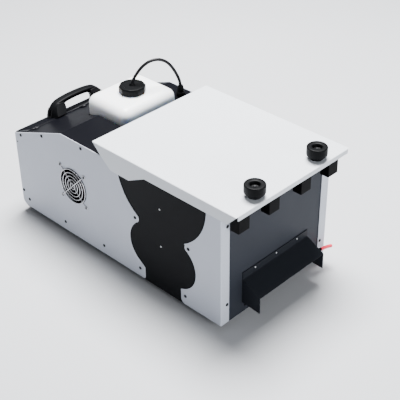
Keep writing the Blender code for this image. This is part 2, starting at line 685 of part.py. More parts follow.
def tank():
    x0, x1, y0, y1, z0, z1 = TANK
    bin_outer = box("tank_bay", "black_paint", -47.8, 107.8, 208.2, 334.8, 119.0, 210.4)
    cut(bin_outer, box("bay_hollow", None, -46.3, 106.3, 209.7, 333.3, 120.5, 230.0))
    jug = box("tank", "tank_plastic", x0, x1, y0, y1, z0, z1)
    soft = jug.modifiers.new("edges", "BEVEL")
    soft.width = 18 * MM
    soft.segments = 4
    join(jug, rod("tank_neck", None, (CAP_X, CAP_Y, 256), (CAP_X, CAP_Y, 270), 19.0))
    hollow = box("tank_hollow", None, x0 + 2, x1 - 2, y0 + 2, y1 - 2, z0 + 2, z1 - 2)
    inner = hollow.modifiers.new("edges", "BEVEL")
    inner.width = 16 * MM
    inner.segments = 3
    cut(jug, hollow, rod("neck_bore", None, (CAP_X, CAP_Y, 250), (CAP_X, CAP_Y, 278), 15.0))
    profile = [(4.0, CAP_Z), (CAP_R - 1.5, CAP_Z), (CAP_R, CAP_Z - 1.5), (CAP_R, 260.5),
               (19.6, 260.5), (19.6, 271.2), (4.0, 271.2), (4.0, CAP_Z)]
    turned("tank_cap", "black_plastic", profile, (CAP_X, CAP_Y, 0.0), steps=40,
           origin=(CAP_X, CAP_Y, CAP_Z))
    route = [(CAP_X, CAP_Y, 144.0), (CAP_X, CAP_Y, 190.0), (CAP_X, CAP_Y, 235.0),
             (CAP_X, CAP_Y, 264.0), (31.0, 268.2, 281.0), (38.2, 265.0, 294.4),
             (50.0, 259.5, 309.5), (64.8, 252.6, 319.0), (81.2, 244.5, 320.3),
             (95.1, 237.3, 313.3), (105.9, 231.3, 299.4), (114.7, 226.8, 280.6),
             (119.3, 224.2, 265.7), (GLAND_X, GLAND_Y, 252.0), (GLAND_X, GLAND_Y, 238.0)]
    tube("suction_hose", "hose_black", smooth(route, 4), SUCTION_R)
    rod("intake_filter", "steel", (CAP_X, CAP_Y, 143.6), (CAP_X, CAP_Y, 125.0), 7.0, sides=16)
    profile = [(3.75, 256.0), (5.6, 256.0), (7.2, 251.0), (7.2, 241.5), (9.2, 241.5),
               (9.2, ROOF_Z + GAP), (5.9, ROOF_Z + GAP), (5.9, 226.0), (0.0, 226.0)]
    gland = turned("hose_gland", "black_plastic",
                   [(0.0, 236.0), (3.75, 236.0)] + profile, (GLAND_X, GLAND_Y, 0.0), steps=20)
    return gland


# ---------------------------------------------------------------- handle

def handle():
    """Moulded arch across the machine with deep feet on the falling roof."""
    low = 165.0
    outer = [(-72.0, low), (-69.5, 190.0), (-66.5, 200.0), (-63.5, 205.5), (-58.5, 211.6),
             (-51.0, 216.4), (-41.0, 218.9), (-29.0, 220.5), (-15.0, 221.5), (0.0, 221.8)]
    inner = [(0.0, 211.8), (-15.0, 211.4), (-28.0, 210.2), (-37.0, 207.2), (-43.0, 202.0),
             (-46.5, 194.0), (-48.5, low)]
    right = [(-x, z) for x, z in reversed(outer[:-1])]
    right_in = [(-x, z) for x, z in reversed(inner[1:])]
    outline = [(x + HANDLE_X, z) for x, z in outer + right + right_in + inner]
    arch = plate("handle", "black_plastic", [outline], "Y", 406.0, 423.0)
    for side in (-1, 1):
        foot = [(side * 71.4, low), (side * 69.0, 189.0), (side * 66.0, 199.0),
                (side * 62.8, 204.6), (side * 57.8, 210.6), (side * 50.8, 215.0),
                (side * 35.5, 214.0), (side * 36.8, 206.4), (side * 42.2, 201.0),
                (side * 46.0, 193.0), (side * 47.4, low)]
        foot = plate(f"foot_{side}", None, [[(x + HANDLE_X, z) for x, z in foot]], "Y",
                     388.0, 424.0)
        slant = [(380.0, 198.0), (388.0, 198.0), (403.5, 214.5), (403.5, 230.0), (380.0, 230.0)]
        cut(foot, plate(f"slant_{side}", None, [slant], "X", -100.0, 100.0),
            box(f"rear_{side}", None, -100.0, 100.0, 421.0, 430.0, 204.0, 230.0))
        join(arch, foot)
        slot = sorted((side * 64.5 + HANDLE_X, side * 90.0 + HANDLE_X))
        cut(arch, box(f"slot_{side}", None, *slot, 411.0, 417.0, 189.0, 212.0))
    bm = bmesh.new()
    tilt = Matrix.Rotation(-math.atan(ROOF_SLOPE), 4, "X")
    z = roof(406.0) + 1.5 + GAP
    deep = 40.0
    add_box(bm, -100, 100, 346, 466, z - deep, z, tilt)
    bmesh.ops.translate(bm, verts=bm.verts, vec=(0, 0, deep / 2 - deep / 2 * math.cos(
        math.atan(ROOF_SLOPE))))
    under = finish("handle_base_cut", as_mesh(bm, "under"), None, (0, 406, z))
    cut(arch, under)


# ---------------------------------------------------------------- rear fittings

BUTTON_X = (-89.0, -75.0, -61.0, -47.0)
BUTTON_Z = 106.0
SOCKET_X = (-100.0, -50.0)


def rear_fittings():
    y = REAR_Y + GAP
    openings = [rounded(-99.0, -37.0, 97.0, 149.0, 4.0), rect(-93.0, -43.0, 119.0, 143.0)]
    openings += [circle(x, BUTTON_Z, 4.6, 20) for x in BUTTON_X]
    plate("display_bezel", "black_plastic", openings, "Y", y, y + 3.0)
    box("display_window", "display", -92.7, -43.3, y - 2.0, y + 1.6, 119.3, 142.7)
    for k, x in enumerate(BUTTON_X):
        rod(f"menu_button_{k + 1}", "grey_plastic", (x, y - 5.5, BUTTON_Z),
            (x, y + 5.0, BUTTON_Z), 4.2, sides=20, origin=(x, y, BUTTON_Z))
    plate("rocker_frame", "black_plastic", [rounded(44.5, 71.5, 31.0, 65.0, 2.0),
                                            rect(51.0, 65.0, 36.2, 59.8)], "Y", y, y + 2.0)
    bm = bmesh.new()
    add_box(bm, 51.6, 64.4, y - 5.0, y + 3.6, 38.4, 57.6)
    paddle = finish("rocker_switch", as_mesh(bm, "paddle"), "black_plastic", (58.0, y - 2.0, 48.0))
    bm = bmesh.new()
    add_rod(bm, (40, y + 21.0, 48.0), (80, y + 21.0, 48.0), 19.0, None, 40)
    cut(paddle, finish("rocker_dish", as_mesh(bm, "dish"), None, (58.0, y - 2.0, 48.0)))
    paddle.rotation_euler = (math.radians(-8.0), 0, 0)
    inlet = plate("power_inlet", "black_plastic", [rounded(75.0, 125.0, 30.0, 62.0, 4.0)],
                  "Y", y, y + 2.2)
    join(inlet, box("inlet_body", None, 85.0, 115.0, y - 22.0, y + 1.0, 35.5, 56.5))
    cut(inlet, box("inlet_hollow", None, 88.0, 112.0, y - 19.0, y + 5.0, 38.0, 54.0))
    pins = [box(f"inlet_pin_{k}", None, x - 1.0, x + 1.0, y - 20.0, y - 3.0, z - 2.0, z + 2.0)
            for k, (x, z) in enumerate(((93.0, 44.0), (107.0, 44.0), (100.0, 49.0)))]
    join(inlet, *pins)
    profile = [(0.0, 5.4), (4.5, 5.4), (5.8, 4.6), (6.6, 0.4), (5.8, 0.0), (5.8, -12.0),
               (0.0, -12.0)]
    turned("fuse_cap", "black_plastic", profile, (24.0, y + 0.4, 46.0), "Y", 20,
           origin=(24.0, y, 46.0))
    sockets = plate("dmx_socket_plate", "grey_plastic", [rounded(-114.0, -36.0, 30.5, 61.5, 2.0)],
                    "Y", y, y + 2.0, (-75.0, y, 46.0))
    for k, x in enumerate(SOCKET_X):
        join(sockets, rod(f"socket_body_{k}", None, (x, y - 20, 46), (x, y + 1.0, 46), 11.8))
        cut(sockets, rod(f"socket_bore_{k}", None, (x, y - 16, 46), (x, y + 6, 46), 9.5))


base_pan()
walls = [side_wall("side_wall_left", -1), side_wall("side_wall_right", 1)]
covers = [rear_cover("rear_cover_left", -1), rear_cover("rear_cover_right", 1)]
vents(walls, covers)
front_cover("front_cover_left", -1)
front_cover("front_cover_right", 1)
front_panel()
rear_panel()
roof_plate()
bulkhead()
hood()
rest_rail()
feet()
lid()
hinge()
thumbscrew("thumbscrew_left", -KNOB_X)
thumbscrew("thumbscrew_right", KNOB_X)
ice_chamber()
drain()
works()
fan()
fan_guard()
tank()
handle()
rear_fittings()
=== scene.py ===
"""Looks of the ice fog machine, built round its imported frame.

Shapes are drawn in millimetres from the covers' own datum and moved into the frame at the end: x
runs from the middle, y from the middle of the lid with the front at -y, and z from the covers'
lower edge.
"""

import math

import bmesh
import bpy
from mathutils import Matrix, Vector


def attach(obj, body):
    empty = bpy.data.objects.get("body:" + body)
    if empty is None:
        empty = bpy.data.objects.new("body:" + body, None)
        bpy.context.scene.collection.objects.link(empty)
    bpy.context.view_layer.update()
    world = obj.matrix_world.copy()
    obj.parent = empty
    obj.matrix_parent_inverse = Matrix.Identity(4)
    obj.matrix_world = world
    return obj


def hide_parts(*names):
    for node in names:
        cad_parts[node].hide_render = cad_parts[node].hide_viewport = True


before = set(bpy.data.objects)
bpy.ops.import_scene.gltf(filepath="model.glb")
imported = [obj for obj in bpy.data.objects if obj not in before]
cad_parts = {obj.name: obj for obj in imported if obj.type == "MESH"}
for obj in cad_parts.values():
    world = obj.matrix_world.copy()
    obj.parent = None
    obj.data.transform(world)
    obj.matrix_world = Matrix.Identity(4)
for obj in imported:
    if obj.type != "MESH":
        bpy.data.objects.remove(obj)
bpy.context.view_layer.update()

# ---- Camera and studio -------------------------------------------------------------------------
# A long lens looks down on the front left corner from above head height. The machine stands on a
# pale seamless floor under one broad overhead lamp, with a soft fill from the front.

LID_WIDTH = 0.305
LID_TOP_TO_DATUM = 0.25915
FLOOR_TO_DATUM = 0.014
DATUM_TO_MIDDLE = -0.129

azimuth, elevation, roll = (math.radians(a) for a in (-45.4332, 34.1059, -0.7542))
back = Vector((math.sin(azimuth) * math.cos(elevation), -math.cos(azimuth) * math.cos(elevation),
               math.sin(elevation)))
level = Vector((math.cos(azimuth), math.sin(azimuth), 0.0))
upright = back.cross(level)
across = math.cos(roll) * level + math.sin(roll) * upright
above = math.cos(roll) * upright - math.sin(roll) * level
lens = bpy.data.cameras.new("camera")
lens.sensor_width = 36.0
lens.lens = 87.84
lens.clip_end = 60.0
camera = bpy.data.objects.new("camera", lens)
camera.matrix_world = Matrix.Translation(
    LID_WIDTH * (5.8499 * back - 0.119 * across - 0.3328 * above)
    + Vector((0.0, DATUM_TO_MIDDLE, LID_TOP_TO_DATUM + FLOOR_TO_DATUM))
) @ Matrix((across, above, back)).transposed().to_4x4()


def stand(obj):
    """Puts a new object in the scene."""
    bpy.context.scene.collection.objects.link(obj)
    return obj


bpy.context.scene.camera = stand(camera)


def lamp(name, where, towards, size, watts, colour):
    light = bpy.data.lights.new(name, "AREA")
    light.shape = "DISK"
    light.size = size
    light.energy = watts
    light.color = colour
    obj = stand(bpy.data.objects.new(name, light))
    obj.location = where
    obj.rotation_euler = (Vector(towards) - Vector(where)).to_track_quat("-Z", "Y").to_euler()


lamp("overhead", (0.55, 0.35, 2.6), (0.0, 0.0, 0.2), 1.4, 400.0, (1.0, 1.0, 1.0))
lamp("front_fill", (-0.4, -3.0, 1.0), (0.0, 0.0, 0.15), 1.6, 78.0, (0.96, 0.98, 1.0))
lamp("left_fill", (-3.2, -1.4, 0.7), (0.0, 0.0, 0.15), 1.6, 12.0, (0.86, 0.92, 1.0))

sky = bpy.data.worlds.new("studio")
sky.use_nodes = True
glow = sky.node_tree.nodes["Background"]
glow.inputs["Color"].default_value = (0.93, 0.95, 1.0, 1.0)
glow.inputs["Strength"].default_value = 0.20
bpy.context.scene.world = sky


def feed(tree, node, inputs):
    """Sets or links a node's inputs, given by name or number."""
    for key, value in inputs.items():
        if isinstance(value, bpy.types.NodeSocket):
            tree.links.new(value, node.inputs[key])
        else:
            node.inputs[key].default_value = value


def place(tree, kind, inputs=None, **settings):
    """A node in a tree, with its settings and inputs."""
    node = tree.nodes.new(kind)
    for key, value in settings.items():
        setattr(node, key, value)
    feed(tree, node, inputs or {})
    return node


def maths(tree, how, a, b, clamp=False):
    node = place(tree, "ShaderNodeMath", {0: a, 1: b}, operation=how, use_clamp=clamp)
    return node.outputs[0]


def noise(tree, where, scale, detail, rough=0.5):
    return place(tree, "ShaderNodeTexNoise", {"Vector": where, "Scale": scale, "Detail": detail,
                                              "Roughness": rough}).outputs["Fac"]


def stretched(tree, value, low, high, to_low=0.0, to_high=1.0, **settings):
    """A value whose range from low to high is spread from to_low to to_high."""
    return place(tree, "ShaderNodeMapRange", {"Value": value, "From Min": low, "From Max": high,
                                              "To Min": to_low, "To Max": to_high},
                 **settings).outputs[0]


def blend_colour(tree, mask, below, over):
    below, over = [c if isinstance(c, bpy.types.NodeSocket) else (*c[:3], 1.0)
                   for c in (below, over)]
    return place(tree, "ShaderNodeMix", {0: mask, 6: below, 7: over},
                 data_type="RGBA").outputs[2]


def object_place(tree):
    return place(tree, "ShaderNodeTexCoord").outputs["Object"]


def finish(name, **values):
    """A material, its tree and its shader, with plain values for the shader's inputs."""
    made = bpy.data.materials.new(name)
    made.use_nodes = True
    shader = made.node_tree.nodes["Principled BSDF"]
    for label, value in values.items():
        shader.inputs[label.replace("_", " ")].default_value = value
    return made, made.node_tree, shader


bm = bmesh.new()
bmesh.ops.create_circle(bm, cap_ends=True, radius=9.0, segments=96)
floor_mesh = bpy.data.meshes.new("studio_floor")
bm.to_mesh(floor_mesh)
bm.free()
floor = stand(bpy.data.objects.new("studio_floor", floor_mesh))
floor_look, tree, shader = finish("pale_floor", Roughness=0.7)
cloud = noise(tree, object_place(tree), 1.4, 3.0)
pale = blend_colour(tree, cloud, (0.46, 0.47, 0.49), (0.51, 0.52, 0.54))
feed(tree, shader, {"Base Color": pale})
floor_mesh.materials.append(floor_look)

# ---- Powder coat on the sheet metal ------------------------------------------------------------
# Every sheet is folded steel with a baked powder coat: a fine orange-peel skin, a paler line on
# the cut edges that is partly thinned paint and partly a painted edge highlight, faint handling
# marks, and a little dust where it faces up.


def shader_group(name, numbers, results):
    """A shader node group with number inputs and number outputs."""
    group = bpy.data.node_groups.new(name, "ShaderNodeTree")
    for label, value in numbers:
        socket = group.interface.new_socket(label, in_out="INPUT", socket_type="NodeSocketFloat")
        socket.default_value = value
    for label in results:
        group.interface.new_socket(label, in_out="OUTPUT", socket_type="NodeSocketFloat")
    return group, group.nodes.new("NodeGroupInput"), group.nodes.new("NodeGroupOutput")


skin, given, result = shader_group("coat_skin", (("Scale", 900.0), ("Wave", 0.3)), ("Height",))
where = object_place(skin)
fine = noise(skin, where, given.outputs["Scale"], 2.0, 0.55)
waves = maths(skin, "MULTIPLY", noise(skin, where, 34.0, 1.0), given.outputs["Wave"])
feed(skin, result, {"Height": maths(skin, "ADD", fine, waves)})

# Paler cut edges in patches: partly worn paint, partly a painted edge highlight.
rim_wear_and_highlight, given, result = shader_group("rim_wear_and_painted_highlight", (("Rim", 0.0), ("Scale", 60.0), ("Amount", 0.5)),
                                  ("Mask",))
patchy = noise(rim_wear_and_highlight, object_place(rim_wear_and_highlight), given.outputs["Scale"], 4.0, 0.6)
share = maths(rim_wear_and_highlight, "MULTIPLY", stretched(rim_wear_and_highlight, patchy, 0.35, 0.65, 0.35), given.outputs["Amount"])
feed(rim_wear_and_highlight, result, {"Mask": maths(rim_wear_and_highlight, "MULTIPLY", share, given.outputs["Rim"], clamp=True)})

settled, given, result = shader_group("settled_dust", (("Amount", 0.1),), ("Mask",))
coords = place(settled, "ShaderNodeTexCoord")
lifted = place(settled, "ShaderNodeSeparateXYZ", {0: coords.outputs["Normal"]})
upward = stretched(settled, lifted.outputs["Z"], 0.3, 1.0)
drift = noise(settled, coords.outputs["Object"], 22.0, 5.0, 0.65)
lying = maths(settled, "MULTIPLY", upward, drift)
feed(settled, result,
     {"Mask": maths(settled, "MULTIPLY", lying, given.outputs["Amount"], clamp=True)})

marks, given, result = shader_group("handling_marks", (("Scale", 9.0), ("Amount", 0.1)),
                                    ("Change",))
stretch = place(marks, "ShaderNodeMapping", {"Vector": object_place(marks),
                                             "Scale": (1.0, 0.35, 1.0)})
smear = noise(marks, stretch.outputs[0], given.outputs["Scale"], 6.0, 0.7)
centred = maths(marks, "SUBTRACT", smear, 0.5)
feed(marks, result, {"Change": maths(marks, "MULTIPLY", centred, given.outputs["Amount"])})


def use(tree, group, numbers):
    """A node group placed in a material with its own values."""
    return place(tree, "ShaderNodeGroup", numbers, node_tree=group).outputs[0]


def bump(tree, height, strength, depth):
    """The normal of a relief whose depth is in millimetres."""
    return place(tree, "ShaderNodeBump", {"Strength": strength, "Distance": depth * 0.001,
                                          "Height": height}).outputs[0]


DUST = (0.52, 0.53, 0.56)


def coat(name, colour, second, rough, rim_wear_highlight=(0.5, 0.5, 0.52), rim_wear_highlight_amount=0.25, dust=0.06, grain=900.0,
         depth=0.03, wave=0.3, cloud=7.0, clear=0.0, sheen=0.5):
    """A hard finish: two close shades in soft clouds, paler rims (wear and a painted edge
    highlight), dust, marks and a fine skin.
    """
    made, tree, shader = finish(name, Specular_IOR_Level=sheen, Coat_Weight=clear,
                                Coat_Roughness=0.2)
    clouds = noise(tree, object_place(tree), cloud, 4.0, 0.6)
    tone = blend_colour(tree, clouds, colour, second)
    rim = place(tree, "ShaderNodeAttribute", attribute_name="rim").outputs["Fac"]
    # The bevel strips go towards the rim colour: partly worn paint, partly a painted edge
    # highlight.
    rim_wear_highlight_mask = use(tree, rim_wear_and_highlight, {"Rim": rim, "Scale": 55.0, "Amount": rim_wear_highlight_amount})
    dusty = use(tree, settled, {"Amount": dust})
    tone = blend_colour(tree, dusty, blend_colour(tree, rim_wear_highlight_mask, tone, rim_wear_highlight), DUST)
    dull = maths(tree, "ADD", use(tree, marks, {"Scale": 9.0, "Amount": 0.12}), rough)
    height = use(tree, skin, {"Scale": grain, "Wave": wave})
    feed(tree, shader, {"Base Color": tone,
                        "Roughness": maths(tree, "ADD", dusty, dull, clamp=True),
                        "Normal": bump(tree, height, 0.5, depth)})
    return made


lid_white = coat("lid_white", (0.60, 0.625, 0.66), (0.565, 0.59, 0.625), 0.40, rim_wear_highlight_amount=0.5,
                 rim_wear_highlight=(0.88, 0.90, 0.93), dust=0.05, depth=0.02, sheen=0.35)
# The covers' white is the lid's white paint made darker and bluer: painted shade on the upright
# side covers.
shaded_cover_white = coat("shaded_cover_white", (0.415, 0.44, 0.505), (0.475, 0.50, 0.56), 0.42, rim_wear_highlight_amount=0.75,
                   rim_wear_highlight=(0.86, 0.88, 0.92), dust=0.04, depth=0.03, cloud=9.0, sheen=0.3)
# These blacks are one black paint in different shades part by part, as painted light and shade:
# the roof darker for the dark reflection it shows, the hood lighter against its own shade.
body_black = coat("body_black", (0.0045, 0.0048, 0.0058), (0.0065, 0.0069, 0.0081), 0.50,
                  rim_wear_highlight=(0.05, 0.05, 0.055), rim_wear_highlight_amount=0.35, dust=0.002, depth=0.06, wave=0.5,
                  sheen=0.04)
panel_black = coat("panel_black", (0.018, 0.0205, 0.027), (0.024, 0.027, 0.035), 0.46,
                   rim_wear_highlight=(0.07, 0.075, 0.085), rim_wear_highlight_amount=0.35, dust=0.004, depth=0.05, sheen=0.08)
roof_black = coat("roof_black", (0.0022, 0.0023, 0.0036), (0.0032, 0.0034, 0.0050), 0.40,
                  rim_wear_highlight=(0.05, 0.05, 0.06), rim_wear_highlight_amount=0.35, dust=0.001, depth=0.05, wave=0.4,
                  sheen=0.035)
hood_black = coat("hood_black", (0.0100, 0.0115, 0.0150), (0.0140, 0.0160, 0.0205), 0.45,
                  rim_wear_highlight=(0.05, 0.055, 0.06), rim_wear_highlight_amount=0.3, dust=0.004, depth=0.05, sheen=0.06)

# ---- Body pan and side walls -------------------------------------------------------------------
# The inner body is a shallow steel pan with two flat black side walls standing on its edges; the
# walls show between the white covers as the dark figure on each side. They are spot welded.

MM = 0.001
DATUM = Matrix.Translation((0.0, DATUM_TO_MIDDLE, FLOOR_TO_DATUM)) @ Matrix.Scale(MM, 4)


def rounded_edges(obj, width, steps=2, corner=32.0, soft=True):
    """Rounds the edges sharper than the corner angle, and marks the strips it makes."""
    while len(obj.data.materials) < 2:
        obj.data.materials.append(None)
    edges = obj.modifiers.new("edges", "BEVEL")
    edges.width = width
    edges.segments = steps
    edges.limit_method = "ANGLE"
    edges.angle_limit = math.radians(corner)
    edges.material = 1
    edges.use_clamp_overlap = True
    if soft:
        even = obj.modifiers.new("shading", "WEIGHTED_NORMAL")
        even.keep_sharp = True
        even.weight = 80
    return obj


def plain_mesh(obj):
    """The mesh that an object's modifiers or curve give."""
    graph = bpy.context.evaluated_depsgraph_get()
    return bpy.data.meshes.new_from_object(obj.evaluated_get(graph), depsgraph=graph)


def settle(obj, name, look, body, *nodes, matrix=DATUM, turn=None):
    """Turns the modifiers into plain mesh, puts it in the frame, dresses it and hands it over."""
    mesh = plain_mesh(obj)
    bpy.data.objects.remove(obj, do_unlink=True)
    if matrix is not None:
        mesh.transform(matrix)
    rim = mesh.attributes.new("rim", "FLOAT", "CORNER")
    values = [0.0] * len(mesh.loops)
    for face in mesh.polygons:
        if face.material_index == 1:
            for corner in face.loop_indices:
                values[corner] = 1.0
    rim.data.foreach_set("value", values)
    mesh.polygons.foreach_set("material_index", [0] * len(mesh.polygons))
    mesh.materials.clear()
    mesh.materials.append(look)
    mesh.name = name
    piece = stand(bpy.data.objects.new(name, mesh))
    if turn is not None:
        mesh.set_sharp_from_angle(angle=math.radians(turn))
    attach(piece, body)
    if nodes:
        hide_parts(*nodes)
    return piece


def draft(bm):
    """A working object from mesh code, with its normals made to face out."""
    bmesh.ops.recalc_face_normals(bm, faces=bm.faces)
    for face in bm.faces:
        face.smooth = True
    mesh = bpy.data.meshes.new("draft")
    bm.to_mesh(mesh)
    bm.free()
    return stand(bpy.data.objects.new("draft", mesh))


def merged(mesh, apart, angle):
    """A mesh in mesh code, with points this close made one and flat faces made whole."""
    bm = bmesh.new()
    bm.from_mesh(mesh)
    bmesh.ops.remove_doubles(bm, verts=bm.verts, dist=apart)
    bmesh.ops.dissolve_limit(bm, angle_limit=math.radians(angle), verts=bm.verts,
                             edges=bm.edges)
    return bm


def eased(node, look, body="chassis", width=0.3, steps=2):
    """A finished copy of a plain part: its loose triangles merged, its edges rounded."""
    obj = draft(merged(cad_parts[node].data, 1e-6, 0.6))
    rounded_edges(obj, width * MM, steps)
    return settle(obj, node + "_finished", look, body, node, matrix=None)


for node in ("base_pan", "side_wall_left", "side_wall_right", "bulkhead", "tank_bay"):
    eased(node, body_black)

# ---- White side covers -------------------------------------------------------------------------
# Each side has two 1.2 mm white sheets whose facing edges are cut as arcs and a round lobe. The
# front one folds round the corner as a flange. Black button-head screws hold them to the walls.

COVER_X, COVER_T = 148.5, 1.2
FLANGE_X = 127.0
FRONT_Y, REAR_Y = -142.2, 436.0
ROOF_Z, KINK_Y, ROOF_SLOPE = 232.6, 282.6, 0.3726
LOBE_Y = 7.0
BIG_ARC_R, BIG_ARC_Z = 114.0, 237.0
LOBE_R, LOBE_Z = 53.2, 83.0
FAN_Y, FAN_Z = 255.3, 124.6
FAN_HOLE_R = 38.5


def roof(y):
    return ROOF_Z - max(0.0, y - KINK_Y) * ROOF_SLOPE


def arc(cx, cy, r, start, end, steps):
    return [(cx + r * math.cos(math.radians(start + (end - start) * k / steps)),
             cy + r * math.sin(math.radians(start + (end - start) * k / steps)))
            for k in range(steps + 1)]


def ring(cx, cy, r, steps=48):
    return arc(cx, cy, r, 0.0, 360.0, steps)[:-1]


def rect(x0, x1, y0, y1):
    return [(x0, y0), (x1, y0), (x1, y1), (x0, y1)]


def soft_rect(x0, x1, y0, y1, r, steps=6):
    return (arc(x1 - r, y0 + r, r, -90, 0, steps) + arc(x1 - r, y1 - r, r, 0, 90, steps)
            + arc(x0 + r, y1 - r, r, 90, 180, steps) + arc(x0 + r, y0 + r, r, 180, 270, steps))


AXES = {
    "X": Matrix(((0, 0, 1, 0), (1, 0, 0, 0), (0, 1, 0, 0), (0, 0, 0, 1))),
    "Y": Matrix(((1, 0, 0, 0), (0, 0, -1, 0), (0, 1, 0, 0), (0, 0, 0, 1))),
    "Z": Matrix(),
}


def cut_sheet(outlines, axis, lo, hi):
    """A flat outline with its holes, given its thickness from lo to hi along an axis."""
    curve = bpy.data.curves.new("outline", "CURVE")
    curve.dimensions = "2D"
    curve.fill_mode = "BOTH"
    curve.extrude = (hi - lo) / 2
    for points in outlines:
        spline = curve.splines.new("POLY")
        spline.points.add(len(points) - 1)
        for point, (a, b) in zip(spline.points, points):
            point.co = (a, b, 0.0, 1.0)
        spline.use_cyclic_u = True
    obj = stand(bpy.data.objects.new("outline", curve))
    mesh = plain_mesh(obj)
    bpy.data.objects.remove(obj, do_unlink=True)
    mid = (lo + hi) / 2
    lift = {"X": (mid, 0, 0), "Y": (0, mid, 0), "Z": (0, 0, mid)}[axis]
    mesh.transform(Matrix.Translation(lift) @ AXES[axis])
    return draft(merged(mesh, 0.0005, 0.2))


def brick(x0, x1, y0, y1, z0, z1):
    bm = bmesh.new()
    size = Matrix.Diagonal((x1 - x0, y1 - y0, z1 - z0, 1.0))
    middle = Matrix.Translation(((x0 + x1) / 2, (y0 + y1) / 2, (z0 + z1) / 2))
    bmesh.ops.create_cube(bm, size=1.0, matrix=middle @ size)
    return draft(bm)


def rod(start, end, radius, sides=32):
    start, end = Vector(start), Vector(end)
    along = end - start
    bm = bmesh.new()
    bmesh.ops.create_cone(bm, cap_ends=True, segments=sides, radius1=radius,
                          radius2=radius, depth=along.length,
                          matrix=Matrix.Translation((start + end) / 2)
                          @ along.to_track_quat("Z", "Y").to_matrix().to_4x4())
    return draft(bm)


def flatten(obj):
    """Makes an object's modifiers part of its mesh."""
    mesh = plain_mesh(obj)
    obj.modifiers.clear()
    obj.data = mesh
    return obj


def boolean(obj, others, how):
    for other in others:
        step = obj.modifiers.new("join", "BOOLEAN")
        step.operation = how
        step.solver = "EXACT"
        step.object = other
        flatten(obj)
        bpy.data.objects.remove(other, do_unlink=True)
    bm = merged(obj.data, 0.002, 0.2)
    for face in bm.faces:
        face.smooth = True
        face.material_index = 0
    bm.to_mesh(obj.data)
    bm.free()
    return obj


def cut(obj, *others):
    return boolean(obj, others, "DIFFERENCE")


def join(obj, *others):
    return boolean(obj, others, "UNION")


def folded(points, thickness, bend=0.0, steps=5):
    """Outline of a bent sheet: the outer line with its bends rounded, and its offset inwards."""
    pts = [Vector(p) for p in points]
    line = [pts[0]]
    for a, b, c in zip(pts, pts[1:], pts[2:]):
        into, out = (a - b).normalized(), (c - b).normalized()
        half = into.angle(out) / 2
        reach = min(bend / math.tan(half), (a - b).length * 0.45, (c - b).length * 0.45)
        if reach < 0.05:
            line.append(b)
            continue
        radius = reach * math.tan(half)
        centre = b + (into + out).normalized() * radius / math.sin(half)
        first, last = b + into * reach - centre, b + out * reach - centre
        swing = first.angle_signed(last)
        for k in range(steps + 1):
            turn = swing * k / steps
            line.append(centre + Matrix.Rotation(-turn, 2) @ first)
    line.append(pts[-1])
    inner = []
    for k, p in enumerate(line):
        before = (p - line[k - 1]).normalized() if k else None
        after = (line[k + 1] - p).normalized() if k < len(line) - 1 else None
        normals = [Vector((d.y, -d.x)) for d in (before, after) if d is not None]
        middle = sum(normals, Vector((0, 0))).normalized()
        inner.append(p + middle * thickness / middle.dot(normals[0]))
    return [tuple(p) for p in line] + [tuple(p) for p in reversed(inner)]


top = math.degrees(math.asin((ROOF_Z - BIG_ARC_Z) / BIG_ARC_R))
rear_edge = (arc(LOBE_Y, BIG_ARC_Z, BIG_ARC_R, top, -58.0, 40)
             + arc(LOBE_Y + 69.5, 134.0, 9.0, 150, 255, 14)
             + arc(LOBE_Y + 33.8, LOBE_Z, LOBE_R, 45.0, -58.0, 32) + [(56.0, 28.0)]
             + arc(61.0, 6.0, 5.0, 180.0, 270.0, 8))
rear_outline = (rear_edge + arc(421.0, 16.0, 15.0, -90, 0, 12)
                + [(REAR_Y, roof(REAR_Y)), (KINK_Y, ROOF_Z)])
front_edge = (arc(LOBE_Y, BIG_ARC_Z, BIG_ARC_R, 180.0, 239.0, 40)
              + arc(LOBE_Y - 69.0, 133.5, 9.0, 30.0, -75.0, 14)
              + arc(LOBE_Y - 33.8, LOBE_Z, LOBE_R, 135.0, 252.0, 36) + [(-41.0, 31.5)]
              + arc(-51.0, 10.0, 10.0, 0.0, -90.0, 10))
front_figure = [(front_edge[0][0], 260.0)] + front_edge + [(-51.0, -20.0), (60.0, -20.0),
                                                            (60.0, 260.0)]

for side, word in ((-1, "left"), (1, "right")):
    lo, hi = sorted((side * COVER_X, side * (COVER_X - COVER_T)))
    if side < 0:
        holes = [ring(FAN_Y, FAN_Z, FAN_HOLE_R, 64)]
    else:
        holes = [soft_rect(FAN_Y - 32, FAN_Y + 32, z - 2.5, z + 2.5, 2.4)
                 for z in range(94, 155, 10)]
    cover = cut_sheet([rear_outline] + holes, "X", lo, hi)
    rounded_edges(cover, 0.35, corner=40.0)
    settle(cover, "rear_cover_" + word, shaded_cover_white, "chassis", "rear_cover_" + word)

    line = [(side * FLANGE_X, FRONT_Y), (side * COVER_X, FRONT_Y), (side * COVER_X, -30.0)]
    if side > 0:
        line = line[::-1]
    outline = folded(line, COVER_T, 2.2)
    if side > 0:
        outline = outline[::-1]
    cover = cut_sheet([outline], "Z", 0.0, 236.0)
    cut(cover, cut_sheet([front_figure], "X", min(lo, hi) - 4, max(lo, hi) + 4))
    rounded_edges(cover, 0.35, corner=40.0)
    settle(cover, "front_cover_" + word, shaded_cover_white, "chassis", "front_cover_" + word)

# ---- Roof sheet and rear panel -----------------------------------------------------------------
# The black roof is one sheet bent where it starts to fall. The rear panel is rolled at its lower
# corner and folds forward over the roof as a strip with three rounded tabs, screwed through.

IN_X = 145.2
GLAND = (121.0, 223.5)
line = [(152.0, ROOF_Z), (KINK_Y, ROOF_Z), (434.3, roof(434.3))]
sheet = cut_sheet([folded(line, 1.5, 5.0)], "X", -IN_X, IN_X)
cut(sheet, cut_sheet([soft_rect(-49.0, 87.0, 208.0, 318.0, 4.0)], "Z", 190.0, 260.0),
    rod((*GLAND, 220.0), (*GLAND, 240.0), 6.3))
rounded_edges(sheet, 0.4)
settle(sheet, "roof_sheet", roof_black, "chassis", "roof_plate")

